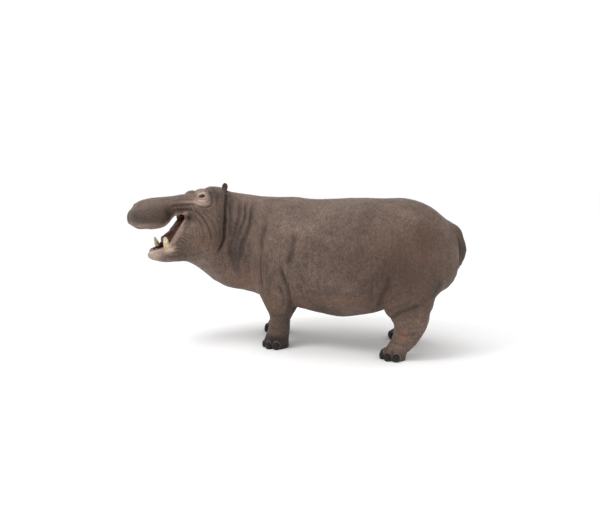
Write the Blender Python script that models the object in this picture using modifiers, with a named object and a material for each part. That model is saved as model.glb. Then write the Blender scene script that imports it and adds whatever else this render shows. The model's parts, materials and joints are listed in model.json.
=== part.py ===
"""A hippopotamus standing with its mouth open, life size, as the still model that a museum shows.

The flesh is drawn as a few named forms: a torso, a head, a lower jaw, four legs and a tail, each a loft
through stations that give its height and width. They are run together into one body, which is then
parted by thin cuts into the pieces that a person would name. Eyes, teeth and toenails are solids of
their own, each in a socket in the flesh.

Metres, +Z up. The animal faces -Y and its left side is +X. The floor is Z = 0.
The forms are drawn for a straight body whose middle plane is X = 0. The neck is bent to the animal's left
after that, and everything is then moved so that the origin lies on the floor under the middle of the
whole figure.
"""
import math

import bmesh
import bpy
import numpy as np
from mathutils import Matrix, Vector

# ---------------------------------------------------------------- driving sizes
NOSE_Y = -1.70                    # tip of the muzzle of the straight body
TURN = math.radians(42)           # how far the head looks to its left
ROLL = math.radians(5)            # how far the head leans over, left side up
ROLL_HEIGHT = 1.15                # the height of the line it leans about
TURN_START_Y = -0.05              # the neck starts to bend here, at the shoulders,
TURN_END_Y = -0.80                # and the head is straight from here on
VOXEL = 0.013                     # grain of the body that the forms are run together in
FLESH_TRIANGLES = 2500
GAP = 0.0004                      # between two pieces that touch
FINE = (40, 7)                    # points round a form, and rings from one station to the next,
PLAIN = (12, 2)                   # for the forms that are run together, and for those that stand alone

HIDE = (0.17, 0.12, 0.10)
MOUTH = (0.36, 0.13, 0.11)
IVORY = (0.70, 0.60, 0.38)
HORN = (0.035, 0.032, 0.034)
EYE = (0.02, 0.012, 0.008)

# ---------------------------------------------------------------- stations
# Lengthwise forms. name: distance along Y, lowest, highest, half width, share of the height at which it
# is widest, and squareness (2 is an ellipse, more is boxier).
TORSO = (
    ("nape",    -0.96, 0.70, 1.480, 0.24, 0.50, 2.2),
    ("throat",  -0.80, 0.565, 1.488, 0.29, 0.50, 2.3),
    ("neck",    -0.62, 0.505, 1.455, 0.345, 0.48, 2.3),
    ("withers", -0.45, 0.465, 1.430, 0.385, 0.47, 2.3),
    ("brisket", -0.28, 0.415, 1.420, 0.435, 0.46, 2.3),
    ("girth",    0.00, 0.350, 1.402, 0.50, 0.45, 2.3),
    ("ribs",     0.28, 0.300, 1.397, 0.56, 0.44, 2.25),
    ("belly",    0.48, 0.285, 1.405, 0.585, 0.44, 2.2),
    ("flank",    0.78, 0.345, 1.412, 0.56, 0.46, 2.2),
    ("hip",      1.00, 0.45, 1.418, 0.50, 0.50, 2.2),
    ("thigh",    1.18, 0.54, 1.372, 0.44, 0.52, 2.2),
    ("rump",     1.32, 0.62, 1.285, 0.37, 0.50, 2.2),
    ("seat",     1.42, 0.69, 1.190, 0.30, 0.50, 2.2),
    ("dock",     1.48, 0.76, 1.100, 0.22, 0.50, 2.1),
)
TORSO_ENDS = (0.0, 0.05)          # how far the domed ends stand out, front and back

# The head's stations are measured back from the tip of the muzzle.
UPPER_HEAD = (
    ("lips",     0.080, 1.175, 1.335, 0.165, 0.45, 2.3),
    ("nostrils", 0.14, 1.150, 1.395, 0.205, 0.45, 2.4),
    ("muzzle",   0.25, 1.140, 1.422, 0.215, 0.44, 2.6),
    ("lip_end",  0.345, 1.160, 1.428, 0.180, 0.45, 2.5),
    ("snout",    0.45, 1.268, 1.435, 0.140, 0.45, 2.4),
    ("bridge",   0.54, 1.258, 1.450, 0.140, 0.45, 2.4),
    ("cheek",    0.62, 1.180, 1.455, 0.180, 0.45, 2.3),
    ("brow",     0.70, 1.060, 1.465, 0.215, 0.50, 2.2),
    ("forehead", 0.81, 0.950, 1.518, 0.235, 0.50, 2.2),
    ("poll",     0.93, 0.880, 1.512, 0.250, 0.50, 2.2),
)
UPPER_HEAD_ENDS = (0.05, 0.0)
LOWER_JAW = (
    ("chin",     0.240, 0.858, 0.925, 0.145, 0.55, 2.4),
    ("tusks",    0.31, 0.832, 0.952, 0.200, 0.60, 2.5),
    ("lip",      0.38, 0.825, 1.018, 0.203, 0.65, 2.5),
    ("jaw",      0.44, 0.825, 1.096, 0.188, 0.65, 2.4),
    ("lip_end",  0.49, 0.823, 1.170, 0.188, 0.60, 2.3),
    ("corner",   0.555, 0.818, 1.245, 0.205, 0.50, 2.2),
    ("jowl",     0.68, 0.745, 1.300, 0.250, 0.45, 2.2),
    ("throat",   0.84, 0.600, 1.320, 0.280, 0.45, 2.2),
)
LOWER_JAW_ENDS = (0.035, 0.0)
MOUTH_CAVITY = (
    ("front",    0.10, 1.020, 1.180, 0.115, 0.50, 2.6),
    ("palate",   0.20, 0.960, 1.195, 0.150, 0.50, 2.8),
    ("floor",    0.29, 0.905, 1.200, 0.150, 0.50, 2.8),
    ("canines",  0.36, 0.910, 1.220, 0.145, 0.50, 2.8),
    ("middle",   0.44, 0.955, 1.285, 0.110, 0.50, 2.6),
    ("cheeks",   0.53, 1.050, 1.290, 0.098, 0.50, 2.4),
    ("back",     0.64, 1.150, 1.285, 0.090, 0.50, 2.2),
)
MOUTH_CAVITY_ENDS = (0.03, 0.06)
TONGUE = (
    ("tip",      0.345, 1.000, 1.076, 0.065, 0.50, 2.3),
    ("blade",    0.40, 0.955, 1.112, 0.095, 0.55, 2.4),
    ("body",     0.47, 0.975, 1.182, 0.105, 0.55, 2.4),
    ("root",     0.60, 1.090, 1.235, 0.095, 0.55, 2.3),
)
TONGUE_ENDS = (0.025, 0.03)

# Rounded masses, on both sides. name: X, Y or distance back from the muzzle, Z, then the three radii.
HEAD_MASSES = (
    ("lip_lobe",   0.105, 0.205, 1.240, 0.125, 0.150, 0.097),
    ("nostril",    0.088, 0.178, 1.358, 0.056, 0.080, 0.034),
    ("orbit",      0.150, 0.685, 1.440, 0.064, 0.080, 0.055),
    ("cheekbone",  0.165, 0.73, 1.300, 0.085, 0.140, 0.100),
    ("ear_base",   0.150, 0.875, 1.420, 0.085, 0.110, 0.060),
    ("jowl",       0.185, 0.74, 1.050, 0.120, 0.155, 0.270),
    ("lower_lip",  0.110, 0.305, 0.895, 0.100, 0.090, 0.055),
    ("lip_corner", 0.126, 0.563, 1.236, 0.032, 0.048, 0.050),
)
BODY_MASSES = (
    ("shoulder",   0.320, -0.20, 0.820, 0.165, 0.270, 0.360),
    ("haunch",     0.290, 1.120, 0.840, 0.205, 0.310, 0.380),
    ("buttock",    0.180, 1.290, 0.855, 0.190, 0.225, 0.290),
)

# Legs. name: Z, X, Y, half width, half depth, squareness. The X is outwards from the middle plane.
FRONT_LEG = (
    ("shoulder", 0.78, 0.28, -0.210, 0.150, 0.200, 2.0),
    ("elbow",    0.56, 0.30, -0.165, 0.140, 0.172, 2.1),
    ("forearm",  0.42, 0.315, -0.130, 0.118, 0.140, 2.1),
    ("wrist",    0.30, 0.32, -0.106, 0.098, 0.102, 2.1),
    ("pastern",  0.18, 0.32, -0.120, 0.098, 0.103, 2.1),
    ("foot",     0.08, 0.32, -0.148, 0.112, 0.116, 2.2),
    ("sole",    -0.03, 0.32, -0.152, 0.110, 0.116, 2.2),
)
HIND_LEG = (
    ("thigh",    0.78, 0.28, 1.120, 0.190, 0.260, 2.0),
    ("stifle",   0.56, 0.34, 1.105, 0.160, 0.220, 2.1),
    ("gaskin",   0.43, 0.365, 1.088, 0.130, 0.203, 2.1),
    ("hock",     0.32, 0.385, 1.122, 0.104, 0.150, 2.1),
    ("cannon",   0.20, 0.395, 1.090, 0.096, 0.126, 2.1),
    ("pastern",  0.11, 0.400, 1.030, 0.100, 0.116, 2.2),
    ("foot",     0.05, 0.400, 0.985, 0.108, 0.110, 2.2),
    ("sole",    -0.03, 0.400, 0.975, 0.106, 0.108, 2.2),
)
# How far each leg is moved from those stations: sideways at the foot, and backwards at the foot.
LEGS = (
    ("front_left",  1, FRONT_LEG, -0.015, 0.00),
    ("front_right", -1, FRONT_LEG, -0.055, -0.17),
    ("hind_left",   1, HIND_LEG, 0.00, 0.00),
    ("hind_right",  -1, HIND_LEG, -0.10, -0.01),
)
LEG_TOP = 0.62                    # above this height a leg isn't moved
ANKLE = 0.145                     # where a foot ends and its leg begins
ARMPITS = {"front": 0.60, "hind": 0.62}   # where a leg ends and the trunk begins
HEAD_CUT = ((0.932, 1.500), (0.845, 0.950))   # the cut behind the jowls passes here: back from the muzzle, up
NECK_END_Y = -0.50                # the cut between neck and trunk
MOUTH_CORNER = (0.575, 1.235)     # how far back the corner of the mouth is, and how high
JAW_BACK_HEIGHT = 1.02            # where the cut over the lower jaw meets the neck
LIP_CORNER = (0.150, 0.560, 1.240)   # round here the cheek's hollows are filled most
LIP_CORNER_REACH = 0.075
SLEEVE = 0.022                    # how far round a leg its cut runs
TOE_TURNS = (-62, -21, 21, 62)    # degrees round the foot from where it points
FOOT_TURNS = {"front_left": 42, "front_right": 25, "hind_left": 42, "hind_right": 25}
TOE_RADII = (0.040, 0.042, 0.056)
TOE_REACH = 0.088
TOE_HEIGHT = 0.030
NAIL_RADII = (0.034, 0.030, 0.043)
NAIL_AHEAD = 0.022

EYE_PLACE = (0.182, 0.671, 1.417)  # out from the middle, back from the muzzle, up
EYE_RADIUS = 0.034
EAR_PLACE = (0.198, 0.893, 1.496)
EAR_RADII = (0.029, 0.018, 0.046)
EAR_CUP_RADII = (0.021, 0.017, 0.032)
EAR_FACES = math.radians(50)      # the ear's hollow faces this far out from straight ahead
EAR_LEANS = {1: math.radians(16), -1: math.radians(42)}   # the right ear is laid lower

# Teeth. name: the root's place, the tip's place and the radii there; places as for the eyes.
TUSK = ((0.152, 0.345, 0.890), (0.184, 0.316, 1.068), 0.030, 0.020)
LOWER_INCISORS = ((0.035, 0.330, 0.890), (0.038, 0.285, 0.958), 0.014, 0.010), (
    (0.090, 0.335, 0.895), (0.094, 0.295, 0.960), 0.012, 0.009)
UPPER_INCISORS = ((0.032, 0.180, 1.235), (0.034, 0.160, 1.168), 0.013, 0.010), (
    (0.085, 0.190, 1.235), (0.088, 0.174, 1.170), 0.013, 0.010)
UPPER_CANINE = ((0.118, 0.265, 1.240), (0.122, 0.248, 1.158), 0.018, 0.014)
TOOTH_BEND = 0.10                 # of its length, how far a tooth bows
TOOTH_SMALL = 0.015               # a tooth with a root no wider than this is made plainer

TAIL = (  # Y, Z, half width, half thickness
    ("root", 1.345, 1.190, 0.056, 0.040),
    ("base", 1.470, 1.135, 0.052, 0.042),
    ("upper", 1.525, 1.030, 0.045, 0.036),
    ("middle", 1.545, 0.930, 0.038, 0.030),
    ("lower", 1.525, 0.840, 0.033, 0.022),
    ("tip", 1.495, 0.765, 0.024, 0.014),
)


# ---------------------------------------------------------------- making forms
def between(stations, steps):
    """Rows on a smooth curve through the stations' values, ends included (Catmull-Rom)."""
    rows = np.array([row[1:] for row in stations], float)
    rows = np.vstack([2 * rows[0] - rows[1], rows, 2 * rows[-1] - rows[-2]])
    made = []
    for before, start, end, after in zip(rows, rows[1:], rows[2:], rows[3:]):
        for t in np.arange(steps) / steps:
            bend = -before + 3 * start - 3 * end + after
            swing = 2 * before - 5 * start + 4 * end - after
            made.append(start + 0.5 * t * (end - before + t * (swing + t * bend)))
    made.append(rows[-2])
    return np.array(made)


def squircle(squareness, ring):
    """The points of a unit ring, as cosines and sines bent towards a square."""
    angle = np.arange(ring) * 2 * math.pi / ring
    power = 2 / squareness
    cos, sin = np.cos(angle), np.sin(angle)
    return np.sign(cos) * abs(cos) ** power, np.sign(sin) * abs(sin) ** power


def domed(rings, front, back, turns=(30, 55, 75, 86)):
    """The rings with a rounded end on either side, of the depth given, or a flat one."""
    for depth, at, onward in ((front, 0, 1), (back, -1, -2)):
        ring, middle = rings[at], rings[at].mean(axis=0)
        way = middle - rings[onward].mean(axis=0)
        way /= np.linalg.norm(way)
        ends = [middle + (ring - middle) * math.cos(a) + way * depth * math.sin(a)
                for a in np.radians(turns)] if depth else []
        rings = ends[::-1] + rings if at == 0 else rings + ends
    return rings


def loft(name, rings):
    """A closed mesh object through rings of equal length."""
    made = bmesh.new()
    loops = [[made.verts.new(point) for point in ring] for ring in rings]
    for one, other in zip(loops, loops[1:]):
        for i in range(len(one)):
            j = (i + 1) % len(one)
            made.faces.new((one[i], one[j], other[j]))
            made.faces.new((one[i], other[j], other[i]))
    made.faces.new(loops[0])
    made.faces.new(loops[-1])
    bmesh.ops.recalc_face_normals(made, faces=made.faces)
    return mesh_object(name, made)


def mesh_object(name, made):
    data = bpy.data.meshes.new(name)
    made.to_mesh(data)
    made.free()
    return shown(name, data)


def shown(name, data):
    obj = bpy.data.objects.new(name, data)
    PARTS.objects.link(obj)
    return obj


def lengthwise(name, stations, ends, start=0.0, grain=FINE, *turns):
    """A form along Y. start is where its stations are measured from."""
    ring, steps = grain
    rings = []
    for y, low, high, half_width, widest, squareness in between(stations, steps):
        across, upward = squircle(squareness, ring)
        middle = low + widest * (high - low)
        height = np.where(upward > 0, high - middle, middle - low)
        rings.append(np.column_stack([half_width * across, np.full(ring, start + y), middle + height * upward]))
    return loft(name, domed(rings, *ends, *turns))


def mass(name, placed, radii, fine=4):
    """An ellipsoid."""
    made = bmesh.new()
    bmesh.ops.create_icosphere(made, subdivisions=fine, radius=1, matrix=placed @ Matrix.Diagonal((*radii, 1)))
    return mesh_object(name, made)


def leg_shift(height, by):
    """How far a leg is moved at this height: nothing at its top and all of it at the floor."""
    share = np.clip((LEG_TOP - height) / LEG_TOP, 0, 1)
    return by * (3 - 2 * share) * share**2


def leg(name, side, stations, outwards, onwards, grown=0.0, top=None):
    """A leg, or with a top the lower part of it, grown all round."""
    ring, steps = PLAIN if top else FINE
    rings = []
    for z, x, y, half_width, half_depth, squareness in between(stations, steps):
        if top and z > top:
            continue
        across, along = squircle(squareness, ring)
        x = side * (x + leg_shift(z, outwards))
        y = y + leg_shift(z, onwards)
        rings.append(np.column_stack([x + (half_width + grown) * across, y + (half_depth + grown) * along,
                                      np.full(ring, z)]))
    if top:
        rings[0][:, 2] = top
    return loft(name, domed(rings, 0.0 if top else 0.10, 0.0))


def toe_places(name, side, stations, outwards, onwards):
    """Where the foot's four toes are: each a point on the floor and its turn about Z."""
    foot = next(row for row in stations if row[0] == "foot")
    middle = Vector((side * (foot[2] + outwards), foot[3] + onwards, 0))
    places = []
    for turn in TOE_TURNS:
        spin = side * math.radians(FOOT_TURNS[name] + turn)
        reach = Vector((math.sin(spin), -math.cos(spin), 0)) * TOE_REACH
        places.append((middle + reach, spin))
    return places


def toe_placed(place, spin):
    return Matrix.Translation(place + Vector((0, 0, TOE_HEIGHT))) @ Matrix.Rotation(spin, 4, "Z")


def toe(name, place, spin, radii, ahead, fine):
    """An ellipsoid on a toe's place, turned to face outwards."""
    return mass(name, toe_placed(place, spin) @ Matrix.Translation((0, -ahead, 0)), radii, fine)


def tail(name, grown=0.0):
    ring, steps = PLAIN
    rings = []
    rows = between(TAIL, steps)
    for i, (y, z, half_width, half_thickness) in enumerate(rows):
        ahead, behind = rows[min(i + 1, len(rows) - 1)], rows[max(i - 1, 0)]
        down = np.array([0, ahead[0] - behind[0], ahead[1] - behind[1]])
        out = np.array([0, -down[2], down[1]]) / np.linalg.norm(down)
        across, outward = squircle(2.0, ring)
        rings.append(np.array([0, y, z]) + np.outer(across * (half_width + grown), (1, 0, 0))
                     + np.outer(outward * (half_thickness + grown), out))
    rings[0] = rings[0] - (rings[1].mean(axis=0) - rings[0].mean(axis=0)) * grown * 30
    return loft(name, domed(rings, 0.0, 0.02 + grown * 2, (45, 75)))


# ---------------------------------------------------------------- working on meshes
def evaluated(obj):
    """The object's mesh as its modifiers leave it, in place of the object's own."""
    graph = bpy.context.evaluated_depsgraph_get()
    data = bpy.data.meshes.new_from_object(obj.evaluated_get(graph), depsgraph=graph)
    obj.modifiers.clear()
    old, obj.data = obj.data, data
    bpy.data.meshes.remove(old)
    return obj


def joined(name, objects):
    """One object that holds all the objects' faces."""
    made = bmesh.new()
    for obj in objects:
        made.from_mesh(obj.data)
        bpy.data.objects.remove(obj)
    return mesh_object(name, made)


def run_together(obj, voxel=VOXEL):
    remesh = obj.modifiers.new("run_together", "REMESH")
    remesh.mode = "VOXEL"
    remesh.voxel_size = voxel
    return evaluated(obj)


def points_of(obj):
    found = np.empty(len(obj.data.vertices) * 3, np.float32)
    obj.data.vertices.foreach_get("co", found)
    return found.reshape(-1, 3).astype(float)


def put_points(obj, points):
    obj.data.vertices.foreach_set("co", points.astype(np.float32).ravel())
    obj.data.update()


def neighbours(obj):
    """The two ends of each edge, and how many edges meet at each point."""
    ends = np.empty(len(obj.data.edges) * 2, np.int32)
    obj.data.edges.foreach_get("vertices", ends)
    one, other = ends.reshape(-1, 2).T
    return one, other, np.bincount(ends, minlength=len(obj.data.vertices))[:, None]


def around(points, one, other, count):
    """The middle of each point's neighbours."""
    total = np.empty_like(points)
    for axis in range(3):
        total[:, axis] = (np.bincount(one, points[other, axis], len(points))
                          + np.bincount(other, points[one, axis], len(points)))
    return total / count


def soften(obj, passes):
    """Evens out the surface without shrinking it."""
    points, near = points_of(obj), neighbours(obj)
    for step in (0.60, -0.62) * passes:
        points += step * (around(points, *near) - points)
    put_points(obj, points)


def fill_creases(obj, passes, share):
    """Raises hollows until they blend two masses. share is each point's part in it, from 0 to 1."""
    near = neighbours(obj)
    normals = np.empty(len(obj.data.vertices) * 3, np.float32)
    for _ in range(passes):
        points = points_of(obj)
        obj.data.vertices.foreach_get("normal", normals)
        outward = normals.reshape(-1, 3)
        rise = ((around(points, *near) - points) * outward).sum(axis=1)
        put_points(obj, points + outward * (0.9 * share * np.maximum(rise, 0))[:, None])


def bend_neck(points):
    """Carries points of the straight body to where they are with the head turned and leaning."""
    ahead = np.maximum(TURN_START_Y - points[:, 1], 0)
    grain = np.linspace(0, 2.0, 2001)
    step = grain[1]
    share = np.clip(grain / (TURN_START_Y - TURN_END_Y), 0, 1)
    share = share**2 * (3 - 2 * share)
    middle = (share[1:] + share[:-1]) / 2 * TURN
    line_x = np.concatenate([[0], np.cumsum(np.sin(middle))]) * step
    line_y = np.concatenate([[0], np.cumsum(np.cos(middle))]) * step
    turn, roll = (np.interp(ahead, grain, share * whole) for whole in (TURN, ROLL))
    out, up = points[:, 0], points[:, 2] - ROLL_HEIGHT
    out, up = out * np.cos(roll) - up * np.sin(roll), out * np.sin(roll) + up * np.cos(roll)
    moved = np.empty_like(points)
    moved[:, 0] = np.interp(ahead, grain, line_x) + out * np.cos(turn)
    moved[:, 1] = np.maximum(points[:, 1], TURN_START_Y) - np.interp(ahead, grain, line_y) + out * np.sin(turn)
    moved[:, 2] = ROLL_HEIGHT + up
    return moved


def bent(obj):
    put_points(obj, bend_neck(points_of(obj)))
    return obj


# ---------------------------------------------------------------- pieces and cuts
def cut(obj, cutter, operation="DIFFERENCE"):
    """Cuts obj with the cutter, which stays for other cuts."""
    boolean = obj.modifiers.new("cut", "BOOLEAN")
    boolean.operation = operation
    boolean.solver = "EXACT"
    boolean.object = cutter
    return evaluated(obj)


def copied(obj, name):
    return shown(name, obj.data.copy())


def discard(*objects):
    for obj in objects:
        bpy.data.objects.remove(obj)


def split(obj, cutter, wider, name):
    """Parts obj in two. The piece within the cutter gets the name, and what is outside the wider one stays."""
    piece = cut(copied(obj, name), cutter, "INTERSECT")
    cut(obj, wider)
    discard(cutter, wider)
    return piece


def box(name, low, high, placed=Matrix()):
    made = bmesh.new()
    low, high = Vector(low), Vector(high)
    sized = Matrix.Translation((low + high) / 2) @ Matrix.Diagonal((*(high - low), 1))
    bmesh.ops.create_cube(made, size=1, matrix=placed @ sized)
    return mesh_object(name, made)


def prism(name, outline, half_width, placed):
    """An outline in Y and Z, drawn out to both sides along X."""
    sides = [[placed @ Vector((x, y, z)) for y, z in outline] for x in (-half_width, half_width)]
    made = bmesh.new()
    left, right = ([made.verts.new(point) for point in side] for side in sides)
    for i in range(len(outline)):
        j = (i + 1) % len(outline)
        made.faces.new((left[i], left[j], right[j], right[i]))
    made.faces.new(left)
    made.faces.new(right)
    bmesh.ops.recalc_face_normals(made, faces=made.faces)
    return mesh_object(name, made)


def head_place():
    """Carries points of the straight head to the turned one: it is rigid, so three points tell where it is."""
    start = np.array([[0, TURN_END_Y, 0], [1, TURN_END_Y, 0], [0, TURN_END_Y, 1]])
    origin, side, top = (Vector(point) for point in bend_neck(start))
    x, z = side - origin, top - origin
    y = z.cross(x)
    placed = Matrix((x, y, z)).transposed().to_4x4()
    placed.translation = origin - y * TURN_END_Y
    return placed


def fewer(obj, triangles):
    """The same surface in this many triangles."""
    obj.data.calc_loop_triangles()
    decimate = obj.modifiers.new("fewer", "DECIMATE")
    decimate.ratio = triangles / len(obj.data.loop_triangles)
    return evaluated(obj)


def largest(obj):
    """Drops all but the largest closed piece of the object."""
    made = bmesh.new()
    made.from_mesh(obj.data)
    left, shells = set(made.verts), []
    while left:
        shell, edge_of = set(), [left.pop()]
        while edge_of:
            vert = edge_of.pop()
            shell.add(vert)
            found = [edge.other_vert(vert) for edge in vert.link_edges]
            edge_of += [other for other in found if other in left]
            left.difference_update(found)
        shells.append(shell)
    shells.sort(key=len)
    for shell in shells[:-1]:
        bmesh.ops.delete(made, geom=list(shell), context="VERTS")
    made.to_mesh(obj.data)
    made.free()
    return obj


# ---------------------------------------------------------------- the body
def both_sides(masses, start=0.0):
    made = []
    for name, x, y, z, *radii in masses:
        for side in (1, -1):
            made.append(mass(name, Matrix.Translation((side * x, start + y, z)), radii))
    return made


def make_flesh():
    """The whole body in one closed surface, with its mouth hollowed out and without its tail and ears."""
    forms = [
        lengthwise("torso", TORSO, TORSO_ENDS),
        lengthwise("upper_head", UPPER_HEAD, UPPER_HEAD_ENDS, NOSE_Y),
        lengthwise("lower_jaw", LOWER_JAW, LOWER_JAW_ENDS, NOSE_Y),
        *both_sides(HEAD_MASSES, NOSE_Y),
        *both_sides(BODY_MASSES),
    ]
    for form in forms:
        bent(form)
    for name, side, stations, outwards, onwards in LEGS:
        forms.append(leg(name, side, stations, outwards, onwards))
        for place, spin in toe_places(name, side, stations, outwards, onwards):
            forms.append(toe("toe", place, spin, TOE_RADII, 0.0, 3))
    flesh = run_together(joined("flesh", forms))
    height = points_of(flesh)[:, 2]
    along = points_of(flesh)[:, 1]
    share = np.clip((height - 0.12) / 0.15, 0.1, 1) * np.clip((along + 0.95) / 0.2, 0.25, 1)
    for side in (1, -1):
        corner = bend_neck(np.array([straight_point(*LIP_CORNER, side)]))
        off = np.linalg.norm(points_of(flesh) - corner, axis=1)
        share = np.maximum(share, np.exp(-(off / LIP_CORNER_REACH)**2))
    soften(flesh, 4)
    fill_creases(flesh, 60, share)
    soften(flesh, 8)
    hollow = bent(lengthwise("hollow", MOUTH_CAVITY, MOUTH_CAVITY_ENDS, NOSE_Y))
    cut(flesh, hollow)
    discard(hollow)
    return fewer(flesh, FLESH_TRIANGLES)


def straight_point(x, back, z, side=1):
    """A place given by how far it is out, back from the muzzle and up."""
    return Vector((side * x, NOSE_Y + back, z))


def tooth(name, side, root, tip, root_radius, tip_radius, grown=0.0):
    """A peg that bows forwards and has its tip worn flat."""
    corners, steps = (8, 4) if root_radius > TOOTH_SMALL else (6, 3)
    start, end = straight_point(*root, side), straight_point(*tip, side)
    way = end - start
    across = way.cross(Vector((0, 1, 0.2))).normalized()
    ahead = across.cross(way).normalized()
    rings = []
    for share in np.linspace(0, 1, steps):
        radius = root_radius + (tip_radius - root_radius) * share**1.5 + grown
        middle = start + way * float(share) - ahead * (TOOTH_BEND * way.length * math.sin(math.pi * share))
        ring = [middle + across * (radius * math.cos(a)) + ahead * (radius * math.sin(a))
                for a in np.arange(corners) * math.tau / corners]
        rings.append(np.array(ring))
    onward = np.array(way.normalized())
    lean = (rings[-1] - rings[-1].mean(axis=0)) @ np.array(ahead) * 0.9
    rings[-1] = rings[-1] - np.outer(lean - grown * 3, onward)
    rings[0] = rings[0] - onward * grown
    return bent(loft(name, rings))


def eye(name, side, grown=0.0):
    placed = Matrix.Translation(straight_point(*EYE_PLACE, side))
    return bent(mass(name, placed, [EYE_RADIUS + grown] * 3, 2))


def tongue(name, grown=0.0):
    stations = [(word, y, low - grown, high + grown, half_width + grown, widest, squareness)
                for word, y, low, high, half_width, widest, squareness in TONGUE]
    return bent(lengthwise(name, stations, [depth + grown for depth in TONGUE_ENDS], NOSE_Y, PLAIN, (45, 75)))


def toenail(name, place, spin, grown=0.0):
    """A nail on the front of a toe, level with the floor."""
    radii = [radius + grown for radius in NAIL_RADII]
    made = bmesh.new()
    bmesh.ops.create_uvsphere(
        made, u_segments=8, v_segments=4, radius=1,
        matrix=toe_placed(place, spin) @ Matrix.Translation((0, -NAIL_AHEAD, 0)) @ Matrix.Diagonal((*radii, 1)))
    nail = mesh_object(name, made)
    x, y = place[:2]
    above = box("above", (x - 0.2, y - 0.2, -grown * 10), (x + 0.2, y + 0.2, 0.5))
    cut(nail, above, "INTERSECT")
    discard(above)
    return nail


def ear(name, side, grown=0.0):
    placed = (Matrix.Translation(straight_point(*EAR_PLACE, side)) @ Matrix.Rotation(side * EAR_LEANS[side], 4, "Y")
              @ Matrix.Rotation(side * EAR_FACES, 4, "Z"))
    shell = mass(name, placed, [radius + grown for radius in EAR_RADII], 2)
    if not grown:
        cup = mass("cup", placed @ Matrix.Translation((0, -0.016, 0.006)), EAR_CUP_RADII, 2)
        cut(shell, cup)
        discard(cup)
    return bent(shell)


def set_in(flesh, name, make, *about, **more):
    """Makes a piece and a socket for it in the flesh."""
    socket = make("socket", *about, grown=GAP, **more)
    cut(flesh, socket)
    discard(socket)
    return make(name, *about, **more)


def finish(obj, colour, roughness):
    material = bpy.data.materials.new(obj.name)
    material.use_nodes = True
    shader = material.node_tree.nodes["Principled BSDF"]
    shader.inputs["Base Color"].default_value = (*colour, 1)
    shader.inputs["Roughness"].default_value = roughness
    obj.data.materials.clear()
    obj.data.materials.append(material)


def part_body(flesh):
    """Parts the body by thin cuts into the pieces that a person would name."""
    whole = head_place()
    reach = 1.5
    body = {}
    (top, top_height), (low, low_height) = HEAD_CUT
    lean = (top - low) / (top_height - low_height)
    ends = [(NOSE_Y + low + lean * (height - low_height), height) for height in (-reach, 3)]
    front = [(NOSE_Y - reach, 3), (NOSE_Y - reach, -reach)]
    head = split(flesh, prism("within", [(y - GAP, z) for y, z in ends] + front, reach, whole),
                 prism("wider", ends + front, reach, whole), "head")
    body["neck"] = split(flesh, box("within", (-reach, -3, -1), (reach, NECK_END_Y - GAP, 3)),
                         box("wider", (-reach, -3, -1), (reach, NECK_END_Y, 3)), "neck")
    corner, behind = (NOSE_Y + MOUTH_CORNER[0], MOUTH_CORNER[1]), NOSE_Y + top + 0.05
    outline = [(NOSE_Y - 0.3, 1.03), corner, (behind, JAW_BACK_HEIGHT), (behind, 0.2), (NOSE_Y - 0.3, 0.2)]
    lower = [(y, z - GAP if i < 3 else z) for i, (y, z) in enumerate(outline)]
    body["lower_jaw"] = split(head, prism("within", lower, reach, whole),
                              prism("wider", outline, reach, whole), "lower_jaw")
    body["head"] = head
    for name, side, stations, outwards, onwards in LEGS:
        where = name.split("_")[0]
        about = (side, stations, outwards, onwards)
        limb = split(flesh, leg("within", *about, SLEEVE, ARMPITS[where]),
                     leg("wider", *about, SLEEVE + GAP, ARMPITS[where] + GAP), name + "_leg")
        x, y = side * (stations[-2][2] + outwards), stations[-2][3] + onwards
        low, high = (x - 0.3, y - 0.4, 0), (x + 0.3, y + 0.4, ANKLE)
        body[name + "_foot"] = split(limb, box("within", low, high),
                                     box("wider", (*low[:2], -1), (*high[:2], ANKLE + GAP)), name + "_foot")
        body[name + "_leg"] = limb
    flesh.name = "trunk"
    body["trunk"] = flesh
    for piece in body.values():
        largest(piece)
    return body


def make_set_in(body):
    """The pieces that stand in sockets: tail, ears, eyes, tongue, teeth and toenails."""
    made = {"tail": set_in(body["trunk"], "tail", tail)}
    for word, side in (("left", 1), ("right", -1)):
        made["ear_" + word] = set_in(body["head"], "ear_" + word, ear, side)
        made["eye_" + word] = set_in(body["head"], "eye_" + word, eye, side)
        made["tusk_" + word] = set_in(body["lower_jaw"], "tusk_" + word, tooth, side, *TUSK)
        made["upper_canine_" + word] = set_in(body["head"], "upper_canine_" + word, tooth, side, *UPPER_CANINE)
        for i in (0, 1):
            name = f"incisor_{word}_{i + 1}"
            made["lower_" + name] = set_in(body["lower_jaw"], "lower_" + name, tooth, side, *LOWER_INCISORS[i])
            made["upper_" + name] = set_in(body["head"], "upper_" + name, tooth, side, *UPPER_INCISORS[i])
    made["tongue"] = set_in(body["lower_jaw"], "tongue", tongue)
    socket = tongue("socket", grown=GAP)
    cut(body["head"], socket)
    discard(socket)
    for name, side, stations, outwards, onwards in LEGS:
        foot = body[name + "_foot"]
        for i, (place, spin) in enumerate(toe_places(name, side, stations, outwards, onwards)):
            nail = set_in(foot, f"{name}_nail_{i + 1}", toenail, place, spin)
            made[nail.name] = nail
    return made


def settle(objects):
    """Moves everything so that the origin is on the floor under the middle of the figure."""
    every = np.vstack([points_of(obj) for obj in objects])
    low, high = every.min(axis=0), every.max(axis=0)
    shift = np.array([(low[0] + high[0]) / 2, (low[1] + high[1]) / 2, low[2]])
    for obj in objects:
        put_points(obj, points_of(obj) - shift)


PARTS = bpy.data.collections.new("hippopotamus")


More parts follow.
